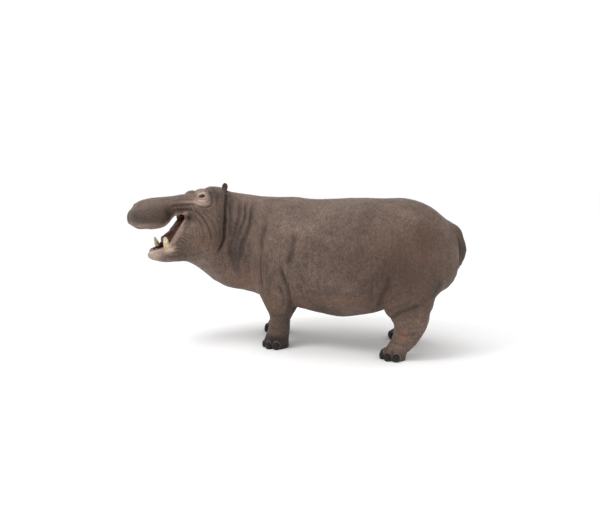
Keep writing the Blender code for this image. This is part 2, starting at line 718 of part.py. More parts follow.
def main():
    for obj in list(bpy.data.objects):
        bpy.data.objects.remove(obj)
    bpy.context.scene.collection.children.link(PARTS)
    body = part_body(make_flesh())
    made = make_set_in(body)
    for piece in body.values():
        finish(largest(piece), HIDE, 0.6)
    for name, piece in made.items():
        looks = ((EYE, 0.05) if "eye" in name else (HORN, 0.4) if "nail" in name else (MOUTH, 0.3)
                 if name == "tongue" else (HIDE, 0.6) if "tail" in name or "ear" in name else (IVORY, 0.35))
        finish(piece, *looks)
    settle(list(PARTS.objects))


main()
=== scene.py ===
# %% [markdown]
# # A hippopotamus, life size, standing with its mouth open
# The imported model is a set of solids: head, jaw, trunk, legs and so on, with thin gaps between them. This
# lesson keeps their places and draws one skin over all of them, then eyes, teeth, tongue and toenails.
# The model is loaded first, because where everything below stands is worked out from it.

# %% Load the solids
import contextlib
import json
import math

import bmesh
import bpy
import numpy as np
from mathutils import Matrix, Vector, kdtree

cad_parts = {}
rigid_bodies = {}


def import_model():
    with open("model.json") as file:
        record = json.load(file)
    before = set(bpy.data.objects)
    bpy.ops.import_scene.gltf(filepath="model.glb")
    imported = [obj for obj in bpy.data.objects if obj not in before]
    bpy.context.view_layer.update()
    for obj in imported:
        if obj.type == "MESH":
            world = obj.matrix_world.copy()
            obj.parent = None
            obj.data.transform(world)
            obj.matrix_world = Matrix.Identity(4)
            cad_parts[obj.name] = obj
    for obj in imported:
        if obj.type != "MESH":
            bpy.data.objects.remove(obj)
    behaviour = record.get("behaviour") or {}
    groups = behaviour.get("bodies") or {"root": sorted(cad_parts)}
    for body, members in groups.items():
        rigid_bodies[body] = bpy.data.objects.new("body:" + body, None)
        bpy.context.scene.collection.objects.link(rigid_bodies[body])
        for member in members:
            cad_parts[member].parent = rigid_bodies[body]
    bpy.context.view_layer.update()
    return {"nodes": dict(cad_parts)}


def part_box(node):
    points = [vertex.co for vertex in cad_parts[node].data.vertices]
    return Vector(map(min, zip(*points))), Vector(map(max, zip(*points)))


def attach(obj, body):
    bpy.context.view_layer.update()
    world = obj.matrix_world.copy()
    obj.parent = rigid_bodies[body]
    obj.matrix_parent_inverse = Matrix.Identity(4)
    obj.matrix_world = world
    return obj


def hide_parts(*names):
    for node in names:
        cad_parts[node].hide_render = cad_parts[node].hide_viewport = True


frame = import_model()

# %% [markdown]
# ## The straight body and its bend
# An animal that turns its head is hard to draw. It is easier to draw it straight, facing -Y with its middle
# plane on X = 0, and to bend its neck afterwards. `bend` carries points of the straight body to where they
# are with the head turned and leaning, and `unbend` carries them back. Both work on whole arrays of points.

# %% The bend of the neck
NOSE_Y = -1.70
TURN, ROLL, ROLL_HEIGHT = math.radians(42), math.radians(5), 1.15
TURN_START_Y, TURN_END_Y = -0.05, -0.80
RUN = np.linspace(0, 2.0, 2001)
RUN_SHARE = np.clip(RUN / (TURN_START_Y - TURN_END_Y), 0, 1)
RUN_SHARE = RUN_SHARE**2 * (3 - 2 * RUN_SHARE)
RUN_TURN = (RUN_SHARE[1:] + RUN_SHARE[:-1]) / 2 * TURN
RUN_X = np.concatenate([[0], np.cumsum(np.sin(RUN_TURN))]) * RUN[1]
RUN_Y = np.concatenate([[0], np.cumsum(np.cos(RUN_TURN))]) * RUN[1]


def bend(points):
    """Where points of the straight body are once its neck is turned."""
    ahead = np.maximum(TURN_START_Y - points[:, 1], 0)
    turn, roll = (np.interp(ahead, RUN, RUN_SHARE * whole) for whole in (TURN, ROLL))
    out, up = points[:, 0], points[:, 2] - ROLL_HEIGHT
    out, up = out * np.cos(roll) - up * np.sin(roll), out * np.sin(roll) + up * np.cos(roll)
    moved = np.empty_like(points)
    moved[:, 0] = np.interp(ahead, RUN, RUN_X) + out * np.cos(turn)
    moved[:, 1] = np.maximum(points[:, 1], TURN_START_Y) - np.interp(ahead, RUN, RUN_Y) + out * np.sin(turn)
    moved[:, 2] = ROLL_HEIGHT + up
    return moved


def unbend(points):
    """Steps towards the straight point whose bent place is the one given."""
    straight = points.copy()
    for _ in range(40):
        straight += 0.7 * (points - bend(straight))
    return straight


def place(x, back, z, side=1):
    """A place on the straight head: how far out, how far back from the muzzle, and how high."""
    return np.array([side * x, NOSE_Y + back, z])


# %% [markdown]
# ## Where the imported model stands
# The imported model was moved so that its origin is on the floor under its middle. The eyes tell by how much:
# they are where they are on the straight head, bent, less that move.

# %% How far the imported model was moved
EYE = (0.182, 0.671, 1.417)
EYE_RADIUS = 0.034
EYES_DRAWN = bend(np.array([place(*EYE, side) for side in (1, -1)])).mean(axis=0)
EYES_PACKED = np.mean([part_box("eye_" + word)[end] for word in ("left", "right") for end in (0, 1)], axis=0)
MOVE = (EYES_PACKED - EYES_DRAWN) * (1, 1, 0)
print("the packed model stands", MOVE.round(4), "from where it was drawn")

# %% [markdown]
# ## Camera
# The camera stands at the animal's left, a little towards the tail, at the height of a person's eyes, and looks
# slightly down. Its lens takes in the whole body with a little floor round it.

# %% Camera
CAMERA_ROUND = math.radians(105)     # round the body, from straight ahead
CAMERA_FAR, CAMERA_HIGH = 6.2, 1.70
CAMERA_DOWN = math.atan(0.1335)
SENSOR, LENS = 36.0, 38.34

camera = bpy.data.objects.new("camera", bpy.data.cameras.new("camera"))
bpy.context.scene.collection.objects.link(camera)
camera.data.sensor_fit = "HORIZONTAL"
camera.data.sensor_width, camera.data.lens = SENSOR, LENS
viewpoint = np.array([math.sin(CAMERA_ROUND) * CAMERA_FAR, -math.cos(CAMERA_ROUND) * CAMERA_FAR, CAMERA_HIGH])
camera.location = viewpoint + MOVE
camera.rotation_euler = (math.pi / 2 - CAMERA_DOWN, 0, CAMERA_ROUND)
bpy.context.scene.camera = camera
print("camera", [round(v, 3) for v in camera.location])

# %% [markdown]
# ## Floor and light
# In a studio the floor runs up into the wall, so that no edge shows behind the object. Here a very large disc and
# an even white sky give the same look. A large lamp above and in front shapes the back, and a weaker one
# straight above it keeps the spine light.

# %% Floor and light
SKY_STRENGTH, FLOOR_PALE, FLOOR_RADIUS = 1.04, (0.965, 0.965, 0.965), 60
world = bpy.data.worlds.new("studio")
world.use_nodes = True
sky = world.node_tree.nodes["Background"].inputs
sky["Color"].default_value, sky["Strength"].default_value = (1, 1, 1, 1), SKY_STRENGTH
bpy.context.scene.world = world
bpy.context.scene.view_settings.view_transform = "Standard"


def lamp(name, at, towards, size, watts):
    light = bpy.data.objects.new(name, bpy.data.lights.new(name, "AREA"))
    light.data.shape, light.data.size, light.data.energy = "DISK", size, watts
    light.location = at
    light.rotation_euler = (Vector(towards) - Vector(at)).to_track_quat("-Z", "Y").to_euler()
    bpy.context.scene.collection.objects.link(light)
    print(name, "lamp,", watts, "watts")


lamp("key", (3.5, -3.0, 6.5), (0, -0.2, 0.8), 3.0, 205)
lamp("top", (0.0, 0.3, 6.5), (0, 0.2, 0.8), 3.0, 35)

made = bmesh.new()
bmesh.ops.create_circle(made, cap_ends=True, segments=96, radius=FLOOR_RADIUS)
floor = bpy.data.objects.new("floor", bpy.data.meshes.new("floor"))
made.to_mesh(floor.data)
made.free()
bpy.context.scene.collection.objects.link(floor)
pale = bpy.data.materials.new("pale_floor")
pale.use_nodes = True
paint = pale.node_tree.nodes["Principled BSDF"].inputs
paint["Base Color"].default_value, paint["Roughness"].default_value = (*FLOOR_PALE, 1), 0.9
floor.data.materials.append(pale)

# %% [markdown]
# ## Forms
# The flesh starts as the same few forms as the solids: a torso, a head, a lower jaw and four legs, each
# lofted through stations that give its height and width, and rounded masses for the muscles and cheeks.
# Smooth curves join the stations (Catmull-Rom), and each ring is an ellipse bent slightly towards a square.

# %% Stations of the torso and head
TORSO = (  # Y, lowest, highest, half width, share of the height where it is widest, squareness
    (-0.96, 0.70, 1.480, 0.24, 0.50, 2.2), (-0.80, 0.565, 1.488, 0.29, 0.50, 2.3),
    (-0.62, 0.505, 1.455, 0.345, 0.48, 2.3), (-0.45, 0.465, 1.430, 0.385, 0.47, 2.3),
    (-0.28, 0.415, 1.420, 0.435, 0.46, 2.3), (0.00, 0.350, 1.402, 0.50, 0.45, 2.3),
    (0.28, 0.300, 1.397, 0.56, 0.44, 2.25), (0.48, 0.285, 1.405, 0.585, 0.44, 2.2),
    (0.78, 0.345, 1.412, 0.56, 0.46, 2.2), (1.00, 0.45, 1.418, 0.50, 0.50, 2.2),
    (1.18, 0.54, 1.372, 0.44, 0.52, 2.2), (1.32, 0.62, 1.285, 0.37, 0.50, 2.2),
    (1.42, 0.69, 1.190, 0.30, 0.50, 2.2), (1.48, 0.76, 1.100, 0.22, 0.50, 2.1))
UPPER_HEAD = (  # the same, measured back from the muzzle
    (0.080, 1.175, 1.335, 0.165, 0.45, 2.3), (0.14, 1.150, 1.395, 0.205, 0.45, 2.4),
    (0.25, 1.140, 1.422, 0.215, 0.44, 2.6), (0.345, 1.160, 1.428, 0.180, 0.45, 2.5),
    (0.45, 1.268, 1.435, 0.140, 0.45, 2.4), (0.54, 1.258, 1.450, 0.140, 0.45, 2.4),
    (0.62, 1.180, 1.455, 0.180, 0.45, 2.3), (0.70, 1.060, 1.465, 0.215, 0.50, 2.2),
    (0.81, 0.950, 1.518, 0.235, 0.50, 2.2), (0.93, 0.880, 1.512, 0.250, 0.50, 2.2))
LOWER_JAW = (
    (0.240, 0.858, 0.925, 0.145, 0.55, 2.4), (0.31, 0.832, 0.952, 0.200, 0.60, 2.5),
    (0.38, 0.825, 1.018, 0.203, 0.65, 2.5), (0.44, 0.825, 1.096, 0.188, 0.65, 2.4),
    (0.49, 0.823, 1.170, 0.188, 0.60, 2.3), (0.555, 0.818, 1.245, 0.205, 0.50, 2.2),
    (0.68, 0.745, 1.300, 0.250, 0.45, 2.2), (0.84, 0.600, 1.320, 0.280, 0.45, 2.2))
MOUTH_CAVITY = (
    (0.10, 1.020, 1.180, 0.115, 0.50, 2.6), (0.20, 0.960, 1.195, 0.150, 0.50, 2.8),
    (0.29, 0.905, 1.200, 0.150, 0.50, 2.8), (0.36, 0.910, 1.220, 0.145, 0.50, 2.8),
    (0.44, 0.955, 1.285, 0.110, 0.50, 2.6), (0.53, 1.050, 1.290, 0.098, 0.50, 2.4),
    (0.64, 1.150, 1.285, 0.090, 0.50, 2.2))
HEAD_MASSES = (  # out, back, up, then three radii
    (0.105, 0.205, 1.240, 0.125, 0.150, 0.097), (0.088, 0.178, 1.358, 0.056, 0.080, 0.034),
    (0.150, 0.685, 1.440, 0.064, 0.080, 0.055), (0.165, 0.73, 1.300, 0.085, 0.140, 0.100),
    (0.150, 0.875, 1.420, 0.085, 0.110, 0.060),
    (0.185, 0.74, 1.050, 0.120, 0.155, 0.270), (0.110, 0.305, 0.895, 0.100, 0.090, 0.055),
    (0.126, 0.563, 1.236, 0.032, 0.048, 0.050))
BODY_MASSES = (  # X, Y, Z, then three radii: shoulder, haunch and buttock
    (0.320, -0.20, 0.820, 0.165, 0.270, 0.360), (0.290, 1.120, 0.840, 0.205, 0.310, 0.380),
    (0.180, 1.290, 0.855, 0.190, 0.225, 0.290))
print(len(TORSO), "stations of the torso,", len(UPPER_HEAD), "of the head and", len(LOWER_JAW), "of the jaw")

# %% [markdown]
# A leg is a loft too, from above the elbow or knee to a little below the floor, where it is cut flat later. It
# bends as the bones inside it do: the hind leg has its heel well above the floor. Four toes stand round the
# front of each foot, and the tail lies against the rump.

# %% Stations of the legs and tail
FRONT_LEG = (  # Z, X, Y, half width, half depth, squareness
    (0.78, 0.28, -0.210, 0.150, 0.200, 2.0), (0.56, 0.30, -0.165, 0.140, 0.172, 2.1),
    (0.42, 0.315, -0.130, 0.118, 0.140, 2.1), (0.30, 0.32, -0.106, 0.098, 0.102, 2.1),
    (0.18, 0.32, -0.120, 0.098, 0.103, 2.1), (0.08, 0.32, -0.148, 0.112, 0.116, 2.2),
    (-0.03, 0.32, -0.152, 0.110, 0.116, 2.2))
HIND_LEG = (
    (0.78, 0.28, 1.120, 0.190, 0.260, 2.0), (0.56, 0.34, 1.105, 0.160, 0.220, 2.1),
    (0.43, 0.365, 1.088, 0.130, 0.203, 2.1), (0.32, 0.385, 1.122, 0.104, 0.150, 2.1),
    (0.20, 0.395, 1.090, 0.096, 0.126, 2.1), (0.11, 0.400, 1.030, 0.100, 0.116, 2.2),
    (0.05, 0.400, 0.985, 0.108, 0.110, 2.2), (-0.03, 0.400, 0.975, 0.106, 0.108, 2.2))
LEGS = (  # name, side, stations, the shift at the foot outwards and backwards, where the foot points
    ("front_left", 1, FRONT_LEG, -0.015, 0.00, 42), ("front_right", -1, FRONT_LEG, -0.055, -0.17, 25),
    ("hind_left", 1, HIND_LEG, 0.00, 0.00, 42), ("hind_right", -1, HIND_LEG, -0.10, -0.01, 25))
LEG_TOP = 0.62
TOE_TURNS = (-62, -21, 21, 62)
TOE_RADII, TOE_REACH, TOE_HEIGHT = (0.040, 0.042, 0.056), 0.088, 0.030
TAIL = (  # Y, Z, half width, half thickness
    (1.345, 1.190, 0.056, 0.040), (1.470, 1.135, 0.052, 0.042), (1.525, 1.030, 0.045, 0.036),
    (1.545, 0.930, 0.038, 0.030), (1.525, 0.840, 0.033, 0.022), (1.495, 0.765, 0.024, 0.014))
print(len(LEGS), "legs with", len(TOE_TURNS), "toes each")

# %% [markdown]
# A loft is the workhorse here: rings of the same number of points, joined one to the next, with a rounded
# end on each side. An ellipsoid is an icosphere that a matrix stretches.

# %% Lofts and masses
def between(stations, steps):
    """Rows on a smooth curve through the stations."""
    rows = np.array(stations, float)
    rows = np.vstack([2 * rows[0] - rows[1], rows, 2 * rows[-1] - rows[-2]])
    found = []
    for before, start, end, after in zip(rows, rows[1:], rows[2:], rows[3:]):
        for t in np.arange(steps) / steps:
            lean = -before + 3 * start - 3 * end + after
            swing = 2 * before - 5 * start + 4 * end - after
            found.append(start + 0.5 * t * (end - before + t * (swing + t * lean)))
    return np.array(found + [rows[-2]])


def squircle(squareness, ring):
    """Across and up round a ring: an ellipse at squareness 2, nearer a square above it."""
    angle = np.arange(ring) * 2 * math.pi / ring
    cos, sin = np.cos(angle), np.sin(angle)
    power = 2 / squareness
    return np.sign(cos) * abs(cos) ** power, np.sign(sin) * abs(sin) ** power


def domed(rings, front, back):
    """Rings with rounded ends of these depths."""
    for depth, at, onward in ((front, 0, 1), (back, -1, -2)):
        ring, middle = rings[at], rings[at].mean(axis=0)
        way = middle - rings[onward].mean(axis=0)
        way /= np.linalg.norm(way)
        ends = [middle + (ring - middle) * math.cos(a) + way * depth * math.sin(a)
                for a in np.radians((30, 55, 75, 86))] if depth else []
        rings = ends[::-1] + list(rings) if at == 0 else list(rings) + ends
    return rings


def shown(name, data):
    obj = bpy.data.objects.new(name, data)
    bpy.context.scene.collection.objects.link(obj)
    return obj


def mesh_object(name, made):
    data = bpy.data.meshes.new(name)
    made.to_mesh(data)
    made.free()
    return shown(name, data)


def loft(name, rings, closed=False):
    """A mesh through rings of points, with a flat face on each end or, closed, joined end to end."""
    made = bmesh.new()
    loops = [[made.verts.new(point) for point in ring] for ring in rings]
    for one, other in zip(loops, loops[1:] + (loops[:1] if closed else [])):
        for i in range(len(one)):
            j = (i + 1) % len(one)
            made.faces.new((one[i], one[j], other[j], other[i]))
    if not closed:
        made.faces.new(loops[0])
        made.faces.new(loops[-1])
    bmesh.ops.recalc_face_normals(made, faces=made.faces)
    return mesh_object(name, made)


def lengthwise(name, stations, front, back, start=0.0, ring=40, steps=7):
    """A loft along the body, from rows that say how low, high and wide it is."""
    rings = []
    for y, low, high, half_width, widest, squareness in between(stations, steps):
        across, upward = squircle(squareness, ring)
        middle = low + widest * (high - low)
        height = np.where(upward > 0, high - middle, middle - low)
        rings.append(np.column_stack([half_width * across, np.full(ring, start + y), middle + height * upward]))
    return loft(name, domed(rings, front, back))


def mass(name, placed, radii, fine=4):
    """An ellipsoid in a frame."""
    made = bmesh.new()
    bmesh.ops.create_icosphere(made, subdivisions=fine, radius=1, matrix=placed @ Matrix.Diagonal((*radii, 1)))
    return mesh_object(name, made)


# %% [markdown]
# Each leg shares its stations with its partner, but no two feet stand in the same place. `leg_shift` slides a
# leg sideways and along, nothing at the top and all of it at the sole, so that it still hangs from the body.

# %% Legs, toes and tail
def leg_shift(height, by):
    """How far a leg is shifted at a height: not at all at its top, fully at the floor."""
    share = np.clip((LEG_TOP - height) / LEG_TOP, 0, 1)
    return by * (3 - 2 * share) * share**2


def leg(name, side, stations, outwards, onwards, ring=40, steps=7):
    """A loft down a leg, with its foot shifted."""
    rings = []
    for z, x, y, half_width, half_depth, squareness in between(stations, steps):
        across, along = squircle(squareness, ring)
        x, y = side * (x + leg_shift(z, outwards)), y + leg_shift(z, onwards)
        rings.append(np.column_stack([x + half_width * across, y + half_depth * along, np.full(ring, z)]))
    return loft(name, domed(rings, 0.10, 0.0))


def foot_middle(side, stations, outwards, onwards):
    """Where the middle of a foot stands on the floor."""
    row = stations[-2]
    return Vector((side * (row[1] + outwards), row[2] + onwards, 0))


def toe_places():
    """Each toe's foot, number, the matrix of its middle and the way it faces."""
    found = []
    for name, side, stations, outwards, onwards, points_to in LEGS:
        for number, turn in enumerate(TOE_TURNS, 1):
            spin = side * math.radians(points_to + turn)
            middle = foot_middle(side, stations, outwards, onwards)
            middle += Vector((math.sin(spin), -math.cos(spin), 0)) * TOE_REACH + Vector((0, 0, TOE_HEIGHT))
            found.append((name, number, Matrix.Translation(middle) @ Matrix.Rotation(spin, 4, "Z")))
    return found


def tail(name, ring=24, steps=8):
    """A loft whose rings stand square to its curve."""
    rows, rings = between(TAIL, steps), []
    for i, (y, z, half_width, half_thickness) in enumerate(rows):
        ahead, behind = rows[min(i + 1, len(rows) - 1)], rows[max(i - 1, 0)]
        down = np.array([0, ahead[0] - behind[0], ahead[1] - behind[1]])
        out = np.array([0, -down[2], down[1]]) / np.linalg.norm(down)
        across, outward = squircle(2.0, ring)
        rings.append(np.array([0, y, z]) + np.outer(across * half_width, (1, 0, 0))
                     + np.outer(outward * half_thickness, out))
    return loft(name, domed(rings, 0.0, 0.02))


# %% [markdown]
# ## Running the forms together
# A voxel remesh makes one closed surface around everything that overlaps. Where two masses meet it leaves a
# sharp valley, so `fill_creases` raises only the hollows, and `soften` evens the surface without shrinking it
# (a pass that shrinks, then one that swells).

# %% Tools for whole meshes
def evaluated(obj):
    """Keeps what an object's modifiers make of it, and takes them off."""
    graph = bpy.context.evaluated_depsgraph_get()
    data = bpy.data.meshes.new_from_object(obj.evaluated_get(graph), depsgraph=graph)
    obj.modifiers.clear()
    old, obj.data = obj.data, data
    bpy.data.meshes.remove(old)
    return obj


@contextlib.contextmanager
def edited(obj):
    """An object's mesh as a bmesh, which is written back when the block ends."""
    made = bmesh.new()
    made.from_mesh(obj.data)
    yield made
    made.to_mesh(obj.data)
    made.free()


def sliced(made, at, out, **side):
    """Clears one side of a plane and gives the faces that close the cut."""
    everything = list(made.verts) + list(made.edges) + list(made.faces)
    bmesh.ops.bisect_plane(made, geom=everything, plane_co=at, plane_no=out, **side)
    rim = [edge for edge in made.edges if edge.is_boundary]
    return bmesh.ops.holes_fill(made, edges=rim, sides=0)["faces"]


def joined(name, objects):
    made = bmesh.new()
    for obj in objects:
        made.from_mesh(obj.data)
        bpy.data.objects.remove(obj)
    return mesh_object(name, made)


def run_together(obj, voxel):
    """One closed surface round everything in a mesh."""
    remesh = obj.modifiers.new("run_together", "REMESH")
    remesh.mode, remesh.voxel_size = "VOXEL", voxel
    return evaluated(obj)


# %% [markdown]
# A mesh of this size has too many points for a loop in Python, so they are read into one array, worked on
# together and written back. For smoothing, each point needs the mean of its neighbours, which the list of edges
# gives: every edge adds each of its ends to the other's total.

# %% Points, normals and smoothing
def points_of(obj, what="co"):
    found = np.empty(len(obj.data.vertices) * 3, np.float32)
    obj.data.vertices.foreach_get(what, found)
    return found.reshape(-1, 3).astype(float)


def normals_of(obj):
    return points_of(obj, "normal")


def put_points(obj, points):
    obj.data.vertices.foreach_set("co", points.astype(np.float32).ravel())
    obj.data.update()


def neighbours(obj):
    """The two ends of every edge, and how many neighbours each point has."""
    ends = np.empty(len(obj.data.edges) * 2, np.int32)
    obj.data.edges.foreach_get("vertices", ends)
    one, other = ends.reshape(-1, 2).T
    return one, other, np.maximum(np.bincount(ends, minlength=len(obj.data.vertices)), 1)[:, None]


def around(values, one, other, count):
    """The mean of each point's neighbours."""
    total = np.empty_like(values)
    for axis in range(values.shape[1]):
        total[:, axis] = (np.bincount(one, values[other, axis], len(values))
                          + np.bincount(other, values[one, axis], len(values)))
    return total / count


def soften(obj, passes, share=1.0):
    """Smooths, and swells back after each pass what the pass shrank."""
    points, near = points_of(obj), neighbours(obj)
    for step in (0.60, -0.62) * passes:
        points += step * share * (around(points, *near) - points)
    put_points(obj, points)


def fill_creases(obj, passes, share):
    """Raises the points that lie lower than their neighbours."""
    near = neighbours(obj)
    for _ in range(passes):
        points, outward = points_of(obj), normals_of(obj)
        rise = ((around(points, *near) - points) * outward).sum(axis=1)
        put_points(obj, points + outward * (0.9 * share * np.maximum(rise, 0))[:, None])


def cut(obj, cutter):
    """Takes one solid out of another, and removes it."""
    boolean = obj.modifiers.new("cut", "BOOLEAN")
    boolean.operation, boolean.solver, boolean.object = "DIFFERENCE", "EXACT", cutter
    evaluated(obj)
    bpy.data.objects.remove(cutter)


# %% [markdown]
# ## The flesh
# The torso and head are bent first, and the legs are added where they stand. After the remesh the creases
# between them are filled: fully where a leg runs into the body and at the corners of the mouth, less on the
# feet and the rest of the head, whose forms stay crisp. Then the mouth's hollow is cut out of the straightened
# head, and the sharp rim that the cut leaves is remembered, for the lips.

# %% The flesh in one surface
FLESH_GRAIN, CREASE_PASSES, RIM_ANGLE = 0.013, 60, math.radians(32)
MOUTH_CORNER, CORNER_REACH = (0.150, 0.560, 1.240), 0.075

forms = [lengthwise("torso", TORSO, 0.0, 0.05), lengthwise("upper_head", UPPER_HEAD, 0.05, 0.0, NOSE_Y),
         lengthwise("lower_jaw_flesh", LOWER_JAW, 0.035, 0.0, NOSE_Y)]
for masses, start in ((HEAD_MASSES, NOSE_Y), (BODY_MASSES, 0.0)):
    for x, y, z, *radii in masses:
        forms += [mass("mass", Matrix.Translation((side * x, start + y, z)), radii) for side in (1, -1)]
for form in forms:
    put_points(form, bend(points_of(form)))
for name, side, stations, outwards, onwards, _ in LEGS:
    forms.append(leg(name, side, stations, outwards, onwards))
for name, number, placed in toe_places():
    forms.append(mass("toe", placed, TOE_RADII, 3))
skin = run_together(joined("skin", forms), FLESH_GRAIN)
height, along = points_of(skin)[:, 2], points_of(skin)[:, 1]
share = np.clip((height - 0.12) / 0.15, 0.1, 1) * np.clip((along + 0.95) / 0.2, 0.25, 1)
for side in (1, -1):
    off = np.linalg.norm(points_of(skin) - bend(np.array([place(*MOUTH_CORNER, side)])), axis=1)
    share = np.maximum(share, np.exp(-(off / CORNER_REACH)**2))
soften(skin, 4)
fill_creases(skin, CREASE_PASSES, share)
soften(skin, 8)
put_points(skin, unbend(points_of(skin)))
cut(skin, lengthwise("hollow", MOUTH_CAVITY, 0.03, 0.06, NOSE_Y))
with edited(skin) as made:
    MOUTH_RIM = [(vert.co.copy(), vert.normal.copy()) for edge in made.edges
                 if len(edge.link_faces) == 2 and edge.calc_face_angle() > RIM_ANGLE for vert in edge.verts]
print("flesh", len(skin.data.vertices), "points, of them", len(MOUTH_RIM), "on the rim of the mouth")

# %% [markdown]
# ## Rims and holes
# Lids, nostrils and ears are drawn lying flat, each in a frame of its own, and then carried to where the frame
# is. A rim is a round bead that follows a path, and a hole is a loft that is cut away.

# %% Tools for rims and holes
def frame_at(middle, out, up=(0, 0, 1)):
    """A matrix at a place: its Z looks out, its Y is as near up as can be, its X is across."""
    z = Vector(out).normalized()
    x = Vector(up).cross(z).normalized()
    placed = Matrix((x, z.cross(x), z)).transposed().to_4x4()
    placed.translation = Vector(middle)
    return placed


def through(placed, points):
    """Points of a frame, in the body's own coordinates."""
    turned = np.array(placed.to_3x3())
    return np.asarray(points, float) @ turned.T + np.array(placed.translation)


def cord(name, path, radii, closed=False, ring=10):
    """A round bead along a path."""
    path, count = np.asarray(path, float), len(path)
    radii = np.broadcast_to(radii, (count,))
    after, before = np.roll(path, -1, axis=0), np.roll(path, 1, axis=0)
    if not closed:
        after[-1], before[0] = path[-1], path[0]
    ways = after - before
    ways /= np.linalg.norm(ways, axis=1)[:, None]
    middle = path.mean(axis=0)
    rings = []
    for point, way, radius in zip(path, ways, radii):
        out = point - middle
        out -= way * (out @ way)
        out /= np.linalg.norm(out)
        side = np.cross(way, out)
        turns = np.arange(ring) * math.tau / ring
        rings.append(point + radius * (np.outer(np.cos(turns), out) + np.outer(np.sin(turns), side)))
    return loft(name, rings, closed)


def almond(half_length, above, below, ring=40, droop=0.0):
    """The outline of an eye: a corner at each end, the upper lid and the lower."""
    turns = np.arange(ring) * math.tau / ring
    across = half_length * np.cos(turns)
    tall = np.where(np.sin(turns) > 0, above, below) * np.sin(turns) * abs(np.sin(turns)) ** 0.25
    return np.column_stack([across, tall + droop * across])


# %% [markdown]
# ## Eyelids
# The eyes of a hippopotamus sit in raised rings on the side of the forehead. Each ring is a small dome over
# the eyeball. An almond-shaped hole is cut through dome and flesh, and a thick rim is laid round the hole:
# that gives lids which wrap the ball, instead of a ball stuck on a flat cheek.

# %% Lids
EYE_OUT = (math.cos(math.radians(8)) * math.cos(math.radians(14)),
           -math.cos(math.radians(8)) * math.sin(math.radians(14)), math.sin(math.radians(8)))
LID_OPENING = (0.031, 0.0175, 0.0155)       # half length, above and below the middle
LID_DOME = (0.045, 0.037, 0.0395)           # across, up and out
LID_RIM, LID_DROOP = 0.0042, 0.10


def eye_frame(side):
    return frame_at(place(*EYE, side), (side * EYE_OUT[0], EYE_OUT[1], EYE_OUT[2]))


def lid_hole(placed, side):
    """What is cut away for the eye: an almond that flares outwards."""
    rings = []
    for out, flare in ((-0.006, 1.0), (0.012, 1.0), (0.09, 1.9)):
        edge = almond(*[flare * size for size in LID_OPENING], droop=LID_DROOP * side)
        rings.append(through(placed, np.column_stack([edge, np.full(len(edge), out)])))
    return loft("hole", rings)


eyelids = []
for side in (1, -1):
    placed = eye_frame(side)
    dome = mass("lid_dome", placed, LID_DOME, 4)
    for flesh in (dome, skin):
        cut(flesh, lid_hole(placed, side))
    edge = almond(*[size + LID_RIM * 0.75 for size in LID_OPENING], droop=LID_DROOP * side)
    lift = np.sqrt(np.maximum((EYE_RADIUS + 0.0035)**2 - (edge**2).sum(axis=1), 0.012**2))
    rim = cord("lid_rim", through(placed, np.column_stack([edge, lift])),
               LID_RIM * (1 + 0.25 * np.sin(np.arange(40) * math.tau / 40)), closed=True)
    eyelids += [dome, rim]
print("lids round openings", [round(2000 * size) for size in LID_OPENING], "mm")

# %% [markdown]
# ## Nostrils
# The nostrils are slits on top of the muzzle, which close under water. Each is a bent slit that narrows
# inwards and flares outwards, so that its edge is rounded and no wall of it is thin.

# %% Nostrils
NOSTRIL = (0.096, 0.118, 1.392)             # its middle, out, back and up
NOSTRIL_OUT = (0.30, -0.62, 0.72)
NOSTRIL_LONG = (0.55, 0.75, 0.35)           # which way the slit runs: outwards, back and up
NOSTRIL_WIDE, NOSTRIL_HALF = 0.0085, 0.027  # half its width and half its length
for side in (1, -1):
    placed = frame_at(place(*NOSTRIL, side), (side * NOSTRIL_OUT[0], *NOSTRIL_OUT[1:]),
                      (side * NOSTRIL_LONG[0], *NOSTRIL_LONG[1:]))
    turns = np.arange(32) * math.tau / 32
    across = NOSTRIL_WIDE * np.sin(turns) * (1 + 0.3 * np.cos(turns))
    slit = np.column_stack([across, NOSTRIL_HALF * np.cos(turns)])
    slit[:, 0] += side * 0.010 * np.cos(turns)**2
    hole = loft("hole", [through(placed, np.column_stack([slit * (0.55, 0.8), np.full(32, -0.035)])),
                         through(placed, np.column_stack([slit, np.full(32, -0.005)])),
                         through(placed, np.column_stack([slit * (2.0, 1.15), np.full(32, 0.04)]))])
    cut(skin, hole)
print("nostrils", round(2000 * NOSTRIL_HALF), "mm long")

# %% [markdown]
# ## Ears
# The ears are short cups on a stalk, no longer than a hand, and they stand at the very back of the head.
# An egg with a smaller egg cut out of it makes the cup.

# %% Ears
EAR = (0.198, 0.893, 1.496)
EAR_RADII, EAR_CUP_RADII = (0.031, 0.020, 0.047), (0.0235, 0.020, 0.036)
EAR_FACES, EAR_LEANS = math.radians(50), {1: math.radians(16), -1: math.radians(42)}
ears = []
for side in (1, -1):
    placed = (Matrix.Translation(place(*EAR, side)) @ Matrix.Rotation(side * EAR_LEANS[side], 4, "Y")
              @ Matrix.Rotation(side * EAR_FACES, 4, "Z"))
    cup = mass("ear", placed, EAR_RADII, 4)
    cut(cup, mass("hole", placed @ Matrix.Translation((0, -0.0165, 0.007)), EAR_CUP_RADII, 4))
    stalk = mass("ear_stalk", placed @ Matrix.Translation((0, 0.004, -0.040)), (0.022, 0.018, 0.034), 3)
    ears += [cup, stalk]
print("ears", round(2000 * EAR_RADII[2]), "mm high")

# %% [markdown]
# ## Lips
# Both lips end in a rolled edge. Each is a bead along the rim that the mouth's hollow leaves in the flesh. A
# rough path gives its named places on the left, from the corner of the mouth round the front, and the right
# mirrors them. Every point of the path is then drawn to the rim itself and sunk a little into the flesh.

